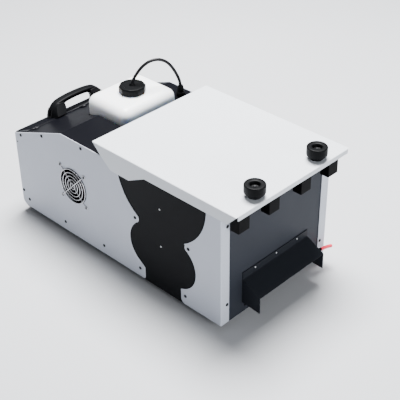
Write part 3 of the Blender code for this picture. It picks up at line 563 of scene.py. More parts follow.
line = ([(397.0, roof(397.0) + 1.5), (REAR_Y, roof(REAR_Y) + 1.5)]
        + arc(421.0, 13.0, 15.0, 0, -84, 10) + [(421.5, -2.0)])
panel = cut_sheet([folded(line, 1.2, 1.0, 3)], "X", -IN_X, IN_X)
fall = math.atan(ROOF_SLOPE)
tilt = Matrix.Translation((0, 393.5, roof(393.5) + 0.9)) @ Matrix.Rotation(-fall, 4, "X")
TAB_X = (-126.5, 0.0, 126.5)
for x in TAB_X:
    tab = cut_sheet([arc(x, -1.5, 7.0, 180, 360, 12) + [(x + 7.0, 6.0), (x - 7.0, 6.0)]], "Z",
                    -0.6, 0.6)
    tab.data.transform(tilt)
    join(panel, tab)
SOCKET_X, SOCKET_Z = (-100.0, -50.0), 46.0
cut(panel, brick(84.5, 115.5, 430, 440, 35.0, 57.0), brick(47.0, 69.0, 430, 440, 35.0, 61.0),
    rod((24.0, 430, 46.0), (24.0, 440, 46.0), 6.3), brick(-94.0, -42.0, 430, 440, 118.0, 144.0),
    *[rod((x, 430, 106.0), (x, 440, 106.0), 5.0) for x in (-89.0, -75.0, -61.0, -47.0)],
    *[rod((x, 430, SOCKET_Z), (x, 440, SOCKET_Z), 12.3) for x in SOCKET_X])
rounded_edges(panel, 0.35)
settle(panel, "rear_sheet", roof_black, "chassis", "rear_panel")

# ---- Front panel and outlet hood ---------------------------------------------------------------
# The front sheet folds forward at the top as the ledge that the lid is screwed to. A folded hood
# with two cheeks turns the fog down over the outlet; its top strip is held by three bright screws.

PANEL_X = IN_X - 2.0
KNOB_SPOTS = ((-83.3, -158.5), (83.3, -158.5))
sheet = cut_sheet([folded([(-171.0, 252.5), (-139.2, 252.5), (-139.2, -2.0)], 1.5, 2.4)], "X",
                  -PANEL_X, PANEL_X)
cut(sheet, brick(-84.0, 84.0, -150.0, -130.0, 8.0, 68.0),
    rod((110.0, -150.0, 36.0), (110.0, -130.0, 36.0), 3.2),
    *[rod((*spot, 240.0), (*spot, 260.0), 4.2) for spot in KNOB_SPOTS])
rounded_edges(sheet, 0.35)
settle(sheet, "front_sheet", panel_black, "chassis", "front_panel")

HOOD_X = 91.5
line = [(-184.0, 54.0), (-142.5, 75.0), (-142.5, 90.0)]
hood = cut_sheet([folded(line, 1.5, 1.8)], "X", -HOOD_X + 0.4, HOOD_X - 0.4)
cheek = [(-141.2, 74.8), (-183.6, 53.6), (-183.6, 19.4), (-141.2, 22.5)]
for side in (-1, 1):
    lo, hi = sorted((side * HOOD_X, side * (HOOD_X - 1.5)))
    join(hood, cut_sheet([cheek], "X", lo, hi))
rounded_edges(hood, 0.4)
settle(hood, "outlet_hood", hood_black, "chassis", "fog_hood")

# ---- Screws ------------------------------------------------------------------------------------
# Domed cross-head screws hold the covers, the panels, the hood and the guard: blackened ones on
# the covers and flanges, bright zinc ones on the black sheets. One small tree makes every set.


def steel_look(name, colour, rough, scale=(1.0, 1.0, 1.0), streak=420.0, depth=0.01):
    """Metal with a fine streak in its tone, roughness and relief."""
    made, tree, shader = finish(name, Metallic=1.0)
    where = object_place(tree)
    pulled = place(tree, "ShaderNodeMapping", {"Vector": where, "Scale": scale})
    streaks = noise(tree, pulled.outputs[0], streak, 3.0)
    patches = noise(tree, where, 30.0, 3.0)
    tone = blend_colour(tree, streaks, [0.72 * c for c in colour], colour)
    tone = blend_colour(tree, use(tree, settled, {"Amount": 0.05}), tone, (0.5, 0.5, 0.52))
    feed(tree, shader, {"Base Color": tone,
                        "Roughness": stretched(tree, patches, 0.0, 1.0, rough - 0.08,
                                               rough + 0.12),
                        "Normal": bump(tree, streaks, 0.4, depth)})
    return made


zinc = steel_look("bright_zinc", (0.78, 0.79, 0.80), 0.30)
black_oxide = steel_look("black_oxide", (0.035, 0.035, 0.038), 0.36)


def geometry_tree(name, sizes):
    """A Geometry Nodes tree with named sizes and a material to set at its end."""
    tree = bpy.data.node_groups.new(name, "GeometryNodeTree")
    tree.interface.new_socket("Geometry", in_out="INPUT", socket_type="NodeSocketGeometry")
    for label, kind, value in sizes:
        socket = tree.interface.new_socket(label, in_out="INPUT", socket_type=kind)
        socket.default_value = value
    tree.interface.new_socket("Finish", in_out="INPUT", socket_type="NodeSocketMaterial")
    tree.interface.new_socket("Geometry", in_out="OUTPUT", socket_type="NodeSocketGeometry")
    return tree, tree.nodes.new("NodeGroupInput"), tree.nodes.new("NodeGroupOutput")


def close_tree(tree, given, result, geometry):
    solid = place(tree, "GeometryNodeRealizeInstances", {"Geometry": geometry})
    dressed = place(tree, "GeometryNodeSetMaterial", {"Geometry": solid.outputs[0],
                                                      "Material": given.outputs["Finish"]})
    tree.links.new(dressed.outputs[0], result.inputs[0])


def grow(tree, mesh, sizes, look):
    """An object whose tree runs on a mesh, with the inputs set by their identifiers."""
    obj = bpy.data.objects.new("draft", mesh)
    step = obj.modifiers.new("tree", "NODES")
    step.node_group = tree
    for item in tree.interface.items_tree:
        if item.in_out == "INPUT" and item.name in sizes:
            step[item.identifier] = sizes[item.name]
        if item.in_out == "INPUT" and item.name == "Finish":
            step[item.identifier] = look
    return stand(obj)


def vector_of(tree, x, y, z):
    """A vector from three numbers or sockets."""
    return place(tree, "ShaderNodeCombineXYZ", {"X": x, "Y": y, "Z": z}).outputs[0]


screws, given, result = geometry_tree("screw_heads", (("Radius", "NodeSocketFloat", 2.6),
                                                      ("Height", "NodeSocketFloat", 1.6)))
radius, height = given.outputs["Radius"], given.outputs["Height"]
dome = place(screws, "GeometryNodeMeshUVSphere", {"Segments": 20, "Rings": 10, "Radius": 1.0})
dome = place(screws, "GeometryNodeTransform", {"Geometry": dome.outputs["Mesh"],
                                               "Scale": vector_of(screws, radius, radius,
                                                                      height)})
long_side = maths(screws, "MULTIPLY", radius, 1.15)
short_side = maths(screws, "MULTIPLY", radius, 0.24)
rise = vector_of(screws, 0.0, 0.0, maths(screws, "MULTIPLY", height, 0.95))
head = place(screws, "GeometryNodeMeshBoolean", {"Mesh 1": dome.outputs[0]},
             operation="DIFFERENCE", solver="EXACT")
for pair in ((long_side, short_side), (short_side, long_side)):
    size = vector_of(screws, *pair, height)
    slot = place(screws, "GeometryNodeMeshCube", {"Size": size}).outputs[0]
    sunk = place(screws, "GeometryNodeTransform", {"Geometry": slot, "Translation": rise})
    screws.links.new(sunk.outputs[0], head.inputs["Mesh 2"])
aim = place(screws, "GeometryNodeInputNamedAttribute", {"Name": "aim"}, data_type="FLOAT_VECTOR")
faced = place(screws, "FunctionNodeAlignRotationToVector", {"Vector": aim.outputs[0]}, axis="Z")
spin = place(screws, "FunctionNodeRandomValue", {"Max": 3.1, "Seed": 7}, data_type="FLOAT")
turned_by = vector_of(screws, 0.0, 0.0, spin.outputs[1])
turned_by = place(screws, "FunctionNodeEulerToRotation", {0: turned_by})
facing = place(screws, "FunctionNodeRotateRotation",
               {0: faced.outputs[0], 1: turned_by.outputs[0]}, rotation_space="LOCAL")
sown = place(screws, "GeometryNodeInstanceOnPoints",
             {"Points": given.outputs["Geometry"], "Instance": head.outputs[0],
              "Rotation": facing.outputs[0]})
close_tree(screws, given, result, sown.outputs[0])


def screw_set(name, points, radius, height, look):
    """Screws at points, each given as a place and the way that its head faces."""
    mesh = bpy.data.meshes.new("screw_places")
    mesh.from_pydata([p for p, _ in points], [], [])
    aim = mesh.attributes.new("aim", "FLOAT_VECTOR", "POINT")
    aim.data.foreach_set("vector", [c for _, way in points for c in way])
    obj = grow(screws, mesh, {"Radius": radius, "Height": height}, look)
    return settle(obj, name, look, "chassis", turn=30.0)


side_places = ((416, 176), (344, 202.5), (222, 224), (430, 37), (413, 20.5), (293.3, 20.5),
               (174, 20.5), (69.3, 20.5), (76.5, 135), (-62.5, 133.2), (-52.4, 19.6))
black_screws = [((s * COVER_X, y, z), (s, 0, 0)) for s in (-1, 1) for y, z in side_places]
black_screws += [((s * 132.6, FRONT_Y, z), (0, -1, 0)) for s in (-1, 1) for z in (42.0, 213.5)]
black_screws += [((x, REAR_Y, z), (0, 1, 0)) for x in (-138.0, 138.0)
                 for z in (26.0, 100.0, 166.0)]
screw_set("cover_screws", black_screws, 3.5, 1.8, black_oxide)
small = [((s * COVER_X, 430.0, 156.0), (s, 0, 0)) for s in (-1, 1)]
screw_set("small_cover_screws", small, 1.7, 0.9, black_oxide)
bright = [((s * 146.9, y, z), (s, 0, 0)) for s in (-1, 1) for y, z in ((10.3, 183.7),
                                                                      (10.4, 100.6))]
bright += [((x, -142.6, 85.0), (0, -1, 0)) for x in (-58.0, 0.5, 60.0)]
screw_set("bright_screws", bright, 1.9, 1.1, zinc)
up = Vector((0, ROOF_SLOPE, 1.0)).normalized()
seam = [((x, 391.0, roof(391.0) + 1.5), tuple(up)) for x in TAB_X]
screw_set("roof_screws", seam, 2.6, 1.5, black_oxide)

# ---- Moulded black plastic: rest rail, handle, knobs, cap --------------------------------------
# Glass-filled nylon with a fine spark-eroded grain, matt and almost black, paler on the corners:
# partly polish from hands, partly a painted edge highlight.

moulded = coat("moulded_black", (0.0025, 0.0027, 0.0032), (0.0037, 0.0039, 0.0046), 0.45,
               rim_wear_highlight=(0.018, 0.019, 0.022), rim_wear_highlight_amount=0.4, dust=0.001, grain=1500.0, depth=0.05,
               wave=0.1, sheen=0.05)
knob_black = coat("knob_black", (0.0024, 0.0026, 0.0030), (0.0036, 0.0038, 0.0043), 0.42,
                  rim_wear_highlight=(0.014, 0.0145, 0.017), rim_wear_highlight_amount=0.4, dust=0.001, grain=1300.0, depth=0.05,
                  wave=0.1, sheen=0.05)
grey_plastic = coat("grey_plastic", (0.05, 0.052, 0.057), (0.065, 0.067, 0.072), 0.45,
                    rim_wear_highlight=(0.12, 0.12, 0.13), rim_wear_highlight_amount=0.3, dust=0.03, grain=1200.0, depth=0.04)

# The rail's black is the moulded black made darker: painted shade under the lid's front lip.
rail_black = coat("rail_black", (0.0013, 0.0014, 0.0017), (0.0020, 0.0021, 0.0025), 0.5,
                  rim_wear_highlight=(0.012, 0.012, 0.014), rim_wear_highlight_amount=0.3, dust=0.002, grain=1500.0, depth=0.04,
                  sheen=0.03)

RAIL_X, RAIL_Y0, RAIL_Y1 = 135.0, -170.0, -150.0
rail = brick(-RAIL_X, RAIL_X, RAIL_Y0, RAIL_Y1, 247.6, 250.7)
for x0, x1 in ((-RAIL_X, -107.0), (-57.0, -29.0), (29.0, 57.0), (107.0, RAIL_X)):
    join(rail, cut_sheet([soft_rect(x0, x1, RAIL_Y0, RAIL_Y1, 1.6, 4)], "Z", 211.5, 249.0))
cut(rail, *[rod((*spot, 240.0), (*spot, 260.0), 4.2) for spot in KNOB_SPOTS])
rounded_edges(rail, 0.8, 3)
settle(rail, "rest_rail", rail_black, "chassis", "lid_rest_rail")

# ---- Carrying handle ---------------------------------------------------------------------------
# One moulding: a slim arch on two deep feet that are cut to the falling roof, with a slot in the
# outer shoulder of each foot where the fixing bolt goes in.

HANDLE_X = -4.0
HANDLE_Y = 406.0
low = 165.0
outer = [(-72.0, low), (-69.5, 190.0), (-66.5, 200.0), (-63.5, 205.5), (-58.5, 211.6),
         (-51.0, 216.4), (-41.0, 218.9), (-29.0, 220.5), (-15.0, 221.5), (0.0, 221.8)]
inner = [(0.0, 211.8), (-15.0, 211.4), (-28.0, 210.2), (-37.0, 207.2), (-43.0, 202.0),
         (-46.5, 194.0), (-48.5, low)]


def rounder(points):
    """The same open line with its corners cut twice, ends kept and nothing pushed outwards."""
    for _ in range(2):
        line = [points[0]]
        for (ax, az), (bx, bz) in zip(points, points[1:]):
            line += [(0.75 * ax + 0.25 * bx, 0.75 * az + 0.25 * bz),
                     (0.25 * ax + 0.75 * bx, 0.25 * az + 0.75 * bz)]
        points = line + [points[-1]]
    return points


outer, inner = rounder(outer), rounder(inner)
outline = (outer + [(-x, z) for x, z in reversed(outer[:-1])]
           + [(-x, z) for x, z in reversed(inner[1:])] + inner)
arch = cut_sheet([[(x + HANDLE_X, z) for x, z in outline]], "Y", HANDLE_Y, HANDLE_Y + 17.0)
flatten(rounded_edges(arch, 3.4, 4, corner=50.0))
for side in (-1, 1):
    foot = [(side * x + HANDLE_X, z) for x, z in (
        (71.4, low), (69.0, 189.0), (66.0, 199.0), (62.8, 204.6), (57.8, 210.6), (50.8, 215.0),
        (35.5, 214.0), (36.8, 206.4), (42.2, 201.0), (46.0, 193.0), (47.4, low))]
    if side > 0:
        foot = foot[::-1]
    block = cut_sheet([foot], "Y", 388.0, 424.0)
    slant = [(380.0, 197.0), (388.0, 197.0), (403.5, 213.5), (403.5, 230.0), (380.0, 230.0)]
    cut(block, cut_sheet([slant], "X", -100.0, 100.0),
        brick(-100.0, 100.0, 421.0, 430.0, 204.0, 230.0))
    join(arch, flatten(rounded_edges(block, 2.2, 4, corner=40.0)))
    x0, x1 = sorted((side * 64.5 + HANDLE_X, side * 90.0 + HANDLE_X))
    cut(arch, brick(x0, x1, 411.0, 417.0, 188.0, 215.0))
seat = brick(-100, 100, -60.0, 60.0, -40.0, 0.0)
seat.data.transform(Matrix.Translation((0, HANDLE_Y, roof(HANDLE_Y) + 1.8))
                    @ Matrix.Rotation(-fall, 4, "X"))
cut(arch, seat)
settle(arch, "carry_handle", moulded, "chassis", "handle", turn=38.0)

# ---- Lid ---------------------------------------------------------------------------------------
# One white sheet folded down both long sides, where the flanges are cut to clear the hinge end,
# and along the front as a short lip that stops before the corners. It opens at the rear.

LID_X, LID_Y, LID_Z = 152.5, 180.0, 259.1
LIP_X = LID_X - 5.0
shell = cut_sheet([folded([(-LID_X, 205.0), (-LID_X, LID_Z), (LID_X, LID_Z), (LID_X, 205.0)],
                          1.5, 2.0)], "Y", -LID_Y, LID_Y)
keep = [(-LID_Y, LID_Z - 0.2), (-159.6, 236.7), (41.5, 236.7), (84.0, 215.3), (133.0, 215.3),
        (157.0, 235.0), (LID_Y, LID_Z - 0.2), (LID_Y + 5, 280.0), (-LID_Y - 5, 280.0)]
boolean(shell, [cut_sheet([keep], "X", -170.0, 170.0)], "INTERSECT")
lip = cut_sheet([folded([(-LID_Y, 249.8), (-LID_Y, LID_Z), (-170.0, LID_Z)], 1.5, 2.0)], "X",
                -LIP_X, LIP_X)
for side in (-1, 1):
    x0, x1 = sorted((side * LIP_X, side * (LID_X + 1.0)))
    cut(shell, brick(x0, x1, -LID_Y - 2.0, -LID_Y + 1.6, LID_Z - 30.0, LID_Z - 1.6))
cut(shell, brick(-LIP_X, LIP_X, -LID_Y - 3.0, -LID_Y + 4.0, LID_Z - 2.5, LID_Z + 3.0))
boolean(lip, [brick(-LID_X, LID_X, -LID_Y - 3.0, -LID_Y + 4.02, 240.0, 262.0)], "INTERSECT")
join(shell, lip)
cut(shell, *[rod((*spot, 250.0), (*spot, 265.0), 4.0) for spot in KNOB_SPOTS])
rounded_edges(shell, 0.35, corner=40.0)
settle(shell, "lid_sheet", lid_white, "lid_body", "lid")

# ---- Lid foam and tub seal ---------------------------------------------------------------------
# Closed-cell foam: a slab glued under the lid to keep the ice cold, and a soft square gasket round
# the tub's rim that the slab presses on.


foam_grey, tree, shader = finish("grey_foam", Sheen_Weight=0.2)
where = object_place(tree)
cells = place(tree, "ShaderNodeTexVoronoi", {"Vector": where, "Scale": 520.0}).outputs["Distance"]
foam_tone = (0.055, 0.057, 0.062)
feed(tree, shader, {"Base Color": blend_colour(tree, cells, [0.6 * c for c in foam_tone],
                                               foam_tone),
                    "Roughness": stretched(tree, noise(tree, where, 12.0, 3.0), 0.0, 1.0, 0.82,
                                           0.98),
                    "Normal": bump(tree, cells, 0.8, 0.4)})


def pad(x_half, y0, y1, z0, z1, pitch, swell, hollow=0.0):
    """A foam slab whose underside swells a little between its edges, or a plain foam ring."""
    if hollow:
        obj = cut_sheet([rect(-x_half, x_half, y0, y1),
                         rect(-x_half + hollow, x_half - hollow, y0 + hollow, y1 - hollow)],
                        "Z", z0, z1)
        rounded_edges(obj, 0.9, 4, soft=False)
        return obj
    nx, ny = int(2 * x_half / pitch), int((y1 - y0) / pitch)
    bm = bmesh.new()
    for z, sign in ((z0, -1), (z1, 1)):
        rows = []
        for j in range(ny + 1):
            row = []
            for i in range(nx + 1):
                x, y = -x_half + 2 * x_half * i / nx, y0 + (y1 - y0) * j / ny
                edge = min(x_half - abs(x), y - y0, y1 - y)
                round_off = 1.2 * max(0.0, 1.0 - edge / 3.0) ** 2
                wave = swell * 0.5 * (1 + math.sin(x * 0.09 + 1.3) * math.sin(y * 0.07))
                inward = round_off + (wave if sign < 0 else 0.0)
                row.append(bm.verts.new((x, y, z - sign * inward)))
            rows.append(row)
        for j in range(ny):
            for i in range(nx):
                quad = (rows[j][i], rows[j][i + 1], rows[j + 1][i + 1], rows[j + 1][i])
                bm.faces.new(quad if sign > 0 else quad[::-1])
    rim = [e for e in bm.edges if e.is_boundary]
    bmesh.ops.bridge_loops(bm, edges=rim)
    return draft(bm)


slab = settle(pad(130.0, -126.0, 140.0, 250.0, 257.3, 5.0, 0.5), "lid_foam_slab", foam_grey,
              "lid_body", "lid_foam", turn=50.0)
seal = settle(pad(136.0, -132.0, 146.0, 246.3, 249.6, 5.0, 0.0, hollow=5.0), "tub_gasket",
              foam_grey, "chassis", "tub_seal", turn=50.0)

# ---- Hinge -------------------------------------------------------------------------------------
# A zinc-plated piano hinge of five knuckles on one pin. The fixed leaf is riveted to the fold of
# the bulkhead and the moving leaf to the lid's underside.

plated = steel_look("zinc_plate", (0.66, 0.67, 0.68), 0.34, (0.15, 1.0, 1.0), 380.0)
eased("hinge_fixed_leaf", plated, "chassis", 0.2)
eased("hinge_moving_leaf", plated, "lid_body", 0.2)
rivets = [((x, 160.0, 247.5), (0, 0, 1)) for x in (-80.0, -40.0, 0.0, 40.0, 80.0)]
screw_set("hinge_rivets", rivets, 2.4, 0.9, zinc)

# ---- Thumbscrews -------------------------------------------------------------------------------
# Two round hand knobs moulded on a steel stud: a ribbed rim, a rolled top edge, a dished middle
# that shows the end of the stud, and a taper to a collar that stands on the lid.


def lathe(profile, steps, wobble=None, at=(0.0, 0.0, 0.0)):
    """A closed profile of (radius, height) turned about Z and moved to a place.

    wobble(angle, radius, height) gives a changed radius."""
    bm = bmesh.new()
    rings = []
    for r, z in profile:
        if r < 1e-6:
            rings.append([bm.verts.new((0, 0, z))])
            continue
        row = []
        for k in range(steps):
            a = math.tau * k / steps
            rr = wobble(a, r, z) if wobble else r
            row.append(bm.verts.new((rr * math.cos(a), rr * math.sin(a), z)))
        rings.append(row)
    for a, b in zip(rings, rings[1:]):
        for k in range(steps):
            j = (k + 1) % steps
            if len(a) == 1 and len(b) == 1:
                continue
            if len(a) == 1:
                bm.faces.new((a[0], b[k], b[j]))
            elif len(b) == 1:
                bm.faces.new((a[k], b[0], a[j]))
            else:
                bm.faces.new((a[k], b[k], b[j], a[j]))
    if profile[0][0] > 1e-6:
        for k in range(steps):
            j = (k + 1) % steps
            bm.faces.new((rings[-1][k], rings[0][k], rings[0][j], rings[-1][j]))
    obj = draft(bm)
    obj.data.transform(Matrix.Translation(at))
    return obj


KNOB_R = 19.4


def ribbed(angle, r, z):
    """Forty fine ribs on the straight part of the knob's side."""
    if r > 18.6 and LID_Z + 8.8 < z < LID_Z + 23.0:
        return r - 0.32 * (0.5 + 0.5 * math.cos(40 * angle))
    return r


z = LID_Z
rim_roll = [(16.8 + 2.6 * math.sin(t), z + 22.95 + 2.6 * math.cos(t))
            for t in [math.pi / 2 * k / 5 for k in range(6)]]
knob_profile = ([(0.0, z + 17.6), (7.2, z + 17.6), (8.1, z + 18.1), (9.0, z + 22.4),
                 (9.6, z + 24.0), (10.6, z + 24.7), (12.4, z + 24.8), (15.2, z + 24.9),
                 (15.8, z + 25.5)]
                + rim_roll + [(KNOB_R, z + 21.6), (KNOB_R, z + 14.6), (KNOB_R, z + 9.4),
                              (18.9, z + 8.3), (14.4, z + 4.3), (13.5, z + 2.9), (12.3, z + 2.3),
                              (12.2, z + 0.6), (11.9, z + 0.3), (3.0, z + 0.3), (3.0, z - 14.6),
                              (2.4, z - 15.0), (0.0, z - 15.0)])
stud_profile = [(0.0, z + 20.6), (1.9, z + 20.6), (2.6, z + 19.9), (2.6, z + 17.7),
                (0.0, z + 17.7)]
for word, spot in zip(("left", "right"), KNOB_SPOTS):
    knob = lathe(knob_profile, 160, ribbed, at=(*spot, 0.0))
    settle(knob, "knob_" + word, knob_black, word + "_thumbscrew", "thumbscrew_" + word, turn=34.0)
    stud = lathe(stud_profile, 24, at=(*spot, 0.0))
    settle(stud, "stud_end_" + word, black_oxide, word + "_thumbscrew", turn=34.0)

# ---- Fluid tank --------------------------------------------------------------------------------
# A blow-moulded polythene bottle with broad rounded corners that drops in a bay in the roof. The
# wall is milky, with a painted bluish shade over the lower front face that is kept off the lit
# left face.

TANK = (-43.5, 103.5, 212.5, 330.5, 121.0, 260.0)
TANK_CORNER_R = 19.0
CAP = (30.0, 268.5)


def bottle(sizes, radius, cells):
    """A box pushed on to rounded corners, as a fine closed grid, with slightly full faces."""
    x0, x1, y0, y1, z0, z1 = sizes
    mid = Vector(((x0 + x1) / 2, (y0 + y1) / 2, (z0 + z1) / 2))
    half = Vector(((x1 - x0) / 2, (y1 - y0) / 2, (z1 - z0) / 2))
    bm = bmesh.new()
    bmesh.ops.create_cube(bm, size=2.0)
    bmesh.ops.subdivide_edges(bm, edges=bm.edges, cuts=cells - 1, use_grid_fill=True)
    for vert in bm.verts:
        even = Vector([math.copysign(abs(c) ** 0.72, c) for c in vert.co])
        p = Vector([c * h for c, h in zip(even, half)])
        core = Vector([max(-(h - radius), min(h - radius, c)) for c, h in zip(p, half)])
        way = p - core
        if way.length > 1e-6:
            p = core + way.normalized() * radius
        full = 1.0 - 0.7 * max(abs(vert.co.x * vert.co.y), abs(vert.co.y * vert.co.z),
                               abs(vert.co.z * vert.co.x))
        vert.co = mid + p * (1.0 - 0.004 * (1.0 - full))
    return draft(bm)


jug = bottle(TANK, TANK_CORNER_R, 26)
neck = lathe([(0.0, 254.0), (19.0, 254.0), (19.0, 270.0), (15.0, 270.0), (15.0, 258.0),
              (0.0, 258.0)], 48, at=(*CAP, 0.0))
join(jug, neck)

milky, tree, shader = finish("milky_polythene", Subsurface_Weight=0.35, Subsurface_Scale=1.0,
                             Subsurface_Radius=(0.010, 0.011, 0.013), IOR=1.5)
where = object_place(tree)
spot = place(tree, "ShaderNodeSeparateXYZ", {0: where})
front, under, beside = [
    stretched(tree, spot.outputs[axis], low, high, interpolation_type="SMOOTHSTEP")
    for axis, low, high in (("Y", 0.100, 0.085), ("Z", 0.267, 0.252), ("X", -0.045, -0.034))]
swirl = noise(tree, where, 26.0, 2.0)
# Painted shade: a bluish tint on the lower front face, kept off the lit left face.
front_face_shade = maths(tree, "MULTIPLY", maths(tree, "MULTIPLY", front, under), beside)
front_face_shade = maths(tree, "MULTIPLY", front_face_shade, stretched(tree, swirl, 0.3, 0.7, 0.45))
milk = blend_colour(tree, swirl, (0.87, 0.88, 0.90), (0.92, 0.93, 0.94))
haze = use(tree, marks, {"Scale": 14.0, "Amount": 0.18})
height = use(tree, skin, {"Scale": 260.0, "Wave": 1.4})
feed(tree, shader, {"Base Color": blend_colour(tree, front_face_shade, milk, (0.66, 0.76, 0.86)),
                    "Roughness": maths(tree, "ADD", haze, 0.34),
                    "Normal": bump(tree, height, 0.4, 0.3)})
settle(jug, "fluid_tank", milky, "chassis", "tank", turn=60.0)

# ---- Tank cap ----------------------------------------------------------------------------------
# A screw cap with ten flattened lobes for the fingers, a chamfered top edge and a raised boss that
# the suction hose passes through.

CAP_R = 27.4


def lobed(angle, r, z):
    """Ten slightly full flats, whose corners reach the cap's outer radius."""
    if r < 18.0 or z < 260.6 and r < 19.8:
        return r
    step = math.tau / 10
    off = (angle % step) - step / 2
    flat = math.cos(step / 2) / math.cos(off)
    return r * (0.2 + 0.8 * flat)


cap_profile = [(4.0, 276.1), (5.8, 276.1), (6.4, 275.4), (6.8, 274.9), (18.6, 274.9),
               (19.3, 275.5), (24.6, 275.5), (26.0, 275.1), (26.9, 273.9), (CAP_R, 272.4),
               (CAP_R, 264.0), (27.1, 261.2), (26.4, 260.5), (19.6, 260.5), (19.6, 271.2),
               (4.0, 271.2)]
settle(lathe(cap_profile, 120, lobed, at=(*CAP, 0.0)), "filler_cap", knob_black, "cap_body",
       "tank_cap", turn=16.0)

# ---- Hoses and gland ---------------------------------------------------------------------------
# A thin black suction hose runs from a filter in the tank, through the cap, and in one arch to a
# gland in the roof, so it is held at both ends. The pump and feed hoses are inside.


def hose_look(name, colour, second, rough, clear):
    made, tree, shader = finish(name, Specular_IOR_Level=0.15, Coat_Weight=clear,
                                Coat_Roughness=0.15)
    drift = noise(tree, object_place(tree), 80.0, 4.0)
    height = use(tree, skin, {"Scale": 1400.0, "Wave": 0.6})
    feed(tree, shader, {"Base Color": blend_colour(tree, drift, colour, second),
                        "Roughness": stretched(tree, drift, 0.0, 1.0, rough - 0.08, rough + 0.1),
                        "Normal": bump(tree, height, 0.4, 0.03)})
    return made


hose_black = hose_look("hose_black", (0.0028, 0.0028, 0.0034), (0.0045, 0.0045, 0.0052), 0.40,
                       0.03)
hose_red = hose_look("hose_red", (0.86, 0.055, 0.10), (0.72, 0.03, 0.07), 0.32, 0.3)
braid = steel_look("feed_braid", (0.62, 0.62, 0.64), 0.36)


def curve_through(route, steps):
    """Points of a Catmull-Rom curve through the route's own points."""
    ends = [2 * Vector(route[0]) - Vector(route[1])]
    ends += [Vector(p) for p in route]
    ends += [2 * Vector(route[-1]) - Vector(route[-2])]
    out = []
    for a, b, c, d in zip(ends, ends[1:], ends[2:], ends[3:]):
        for k in range(steps):
            t = k / steps
            out.append(0.5 * (2 * b + (c - a) * t + (2 * a - 5 * b + 4 * c - d) * t * t
                              + (3 * b - a - 3 * c + d) * t ** 3))
    return out + [Vector(route[-1])]


def hose(name, route, steps, radius, look, sides=5):
    """A round hose along a route, with a hose node's own name."""
    points = curve_through(route, steps)
    curve = bpy.data.curves.new(name, "CURVE")
    curve.dimensions = "3D"
    curve.bevel_depth = radius
    curve.bevel_resolution = sides
    curve.use_fill_caps = True
    spline = curve.splines.new("POLY")
    spline.points.add(len(points) - 1)
    for point, spot in zip(spline.points, points):
        point.co = (*spot, 1.0)
    spline.use_smooth = True
    obj = stand(bpy.data.objects.new(name, curve))
    return settle(obj, name + "_tube", look, "chassis", name, turn=50.0)


route = [(30, 268.5, 144), (30, 268.5, 190), (30, 268.5, 235), (30, 268.5, 264),
         (31, 268.2, 281), (38.2, 265, 294.4), (50, 259.5, 309.5), (64.8, 252.6, 319),
         (81.2, 244.5, 320.3), (95.1, 237.3, 313.3), (105.9, 231.3, 299.4),
         (114.7, 226.8, 280.6), (119.3, 224.2, 265.7), (121, 223.5, 252), (121, 223.5, 238)]
hose("suction_hose", route, 10, 3.15, hose_black)
route = [(121, 223.5, 224), (121, 224, 190), (120, 228, 130), (117, 245, 70), (116, 262, 42),
         (116, 285.6, 36)]
hose("pump_hose", route, 8, 2.6, hose_black)
route = [(116, 368.4, 36), (114, 388, 37), (92, 408, 46), (56, 414, 58), (28, 410, 65),
         (20.5, 403, 66), (20, 398, 66), (20, 396.4, 66)]
hose("feed_hose", route, 8, 2.6, braid)
route = [(119.4, -156, 35), (130, -156.6, 33.4), (141, -157, 30.6), (150.8, -157, 27)]
hose("drain_hose", route, 8, 3.5, hose_red, sides=7)

gland = lathe([(3.7, 256.0), (4.8, 256.0), (5.3, 255.3), (5.5, 254.2), (5.1, 253.6), (5.9, 252.9),
               (6.1, 251.8), (5.7, 251.2), (6.6, 250.4), (6.8, 249.2), (6.4, 248.6), (7.2, 247.6),
               (7.3, 241.8), (8.8, 241.5), (9.2, 241.0), (9.2, 233.3), (8.9, 232.9), (5.9, 232.9),
               (5.9, 226.0), (3.7, 226.0)], 48,
              lambda a, r, z: r - 0.35 * (0.5 + 0.5 * math.cos(12 * a)) if r > 8.9 else r,
              at=(*GLAND, 0.0))
settle(gland, "strain_gland", moulded, "chassis", "hose_gland", turn=34.0)
collar = lathe([(3.6, 278.9), (4.6, 278.9), (5.2, 278.2), (5.5, 276.2), (3.6, 276.2)], 32,
               at=(*CAP, 0.0))
settle(collar, "cap_collar", moulded, "chassis", turn=34.0)

spout = rod((110, -136.0, 36), (110, -158.0, 36), 2.8, sides=24)
join(spout, rod((110, -140.9, 36), (110, -145.0, 36), 6.5, sides=6),
     rod((107.4, -156.0, 36), (119.0, -156.0, 35.0), 2.8, sides=24),
     rod((115.0, -156.0, 35.4), (117.0, -156.0, 35.2), 3.6, sides=24))
rounded_edges(spout, 0.3)
settle(spout, "drain_spout_elbow", moulded, "chassis", "drain_spout")

# ---- Fan, finger guard and its screws ----------------------------------------------------------
# An 80 mm axial fan behind the left wall, with a bright wire guard outside: five rings welded to
# two crossed wires, one over and one under, that end in an eye at each screw.

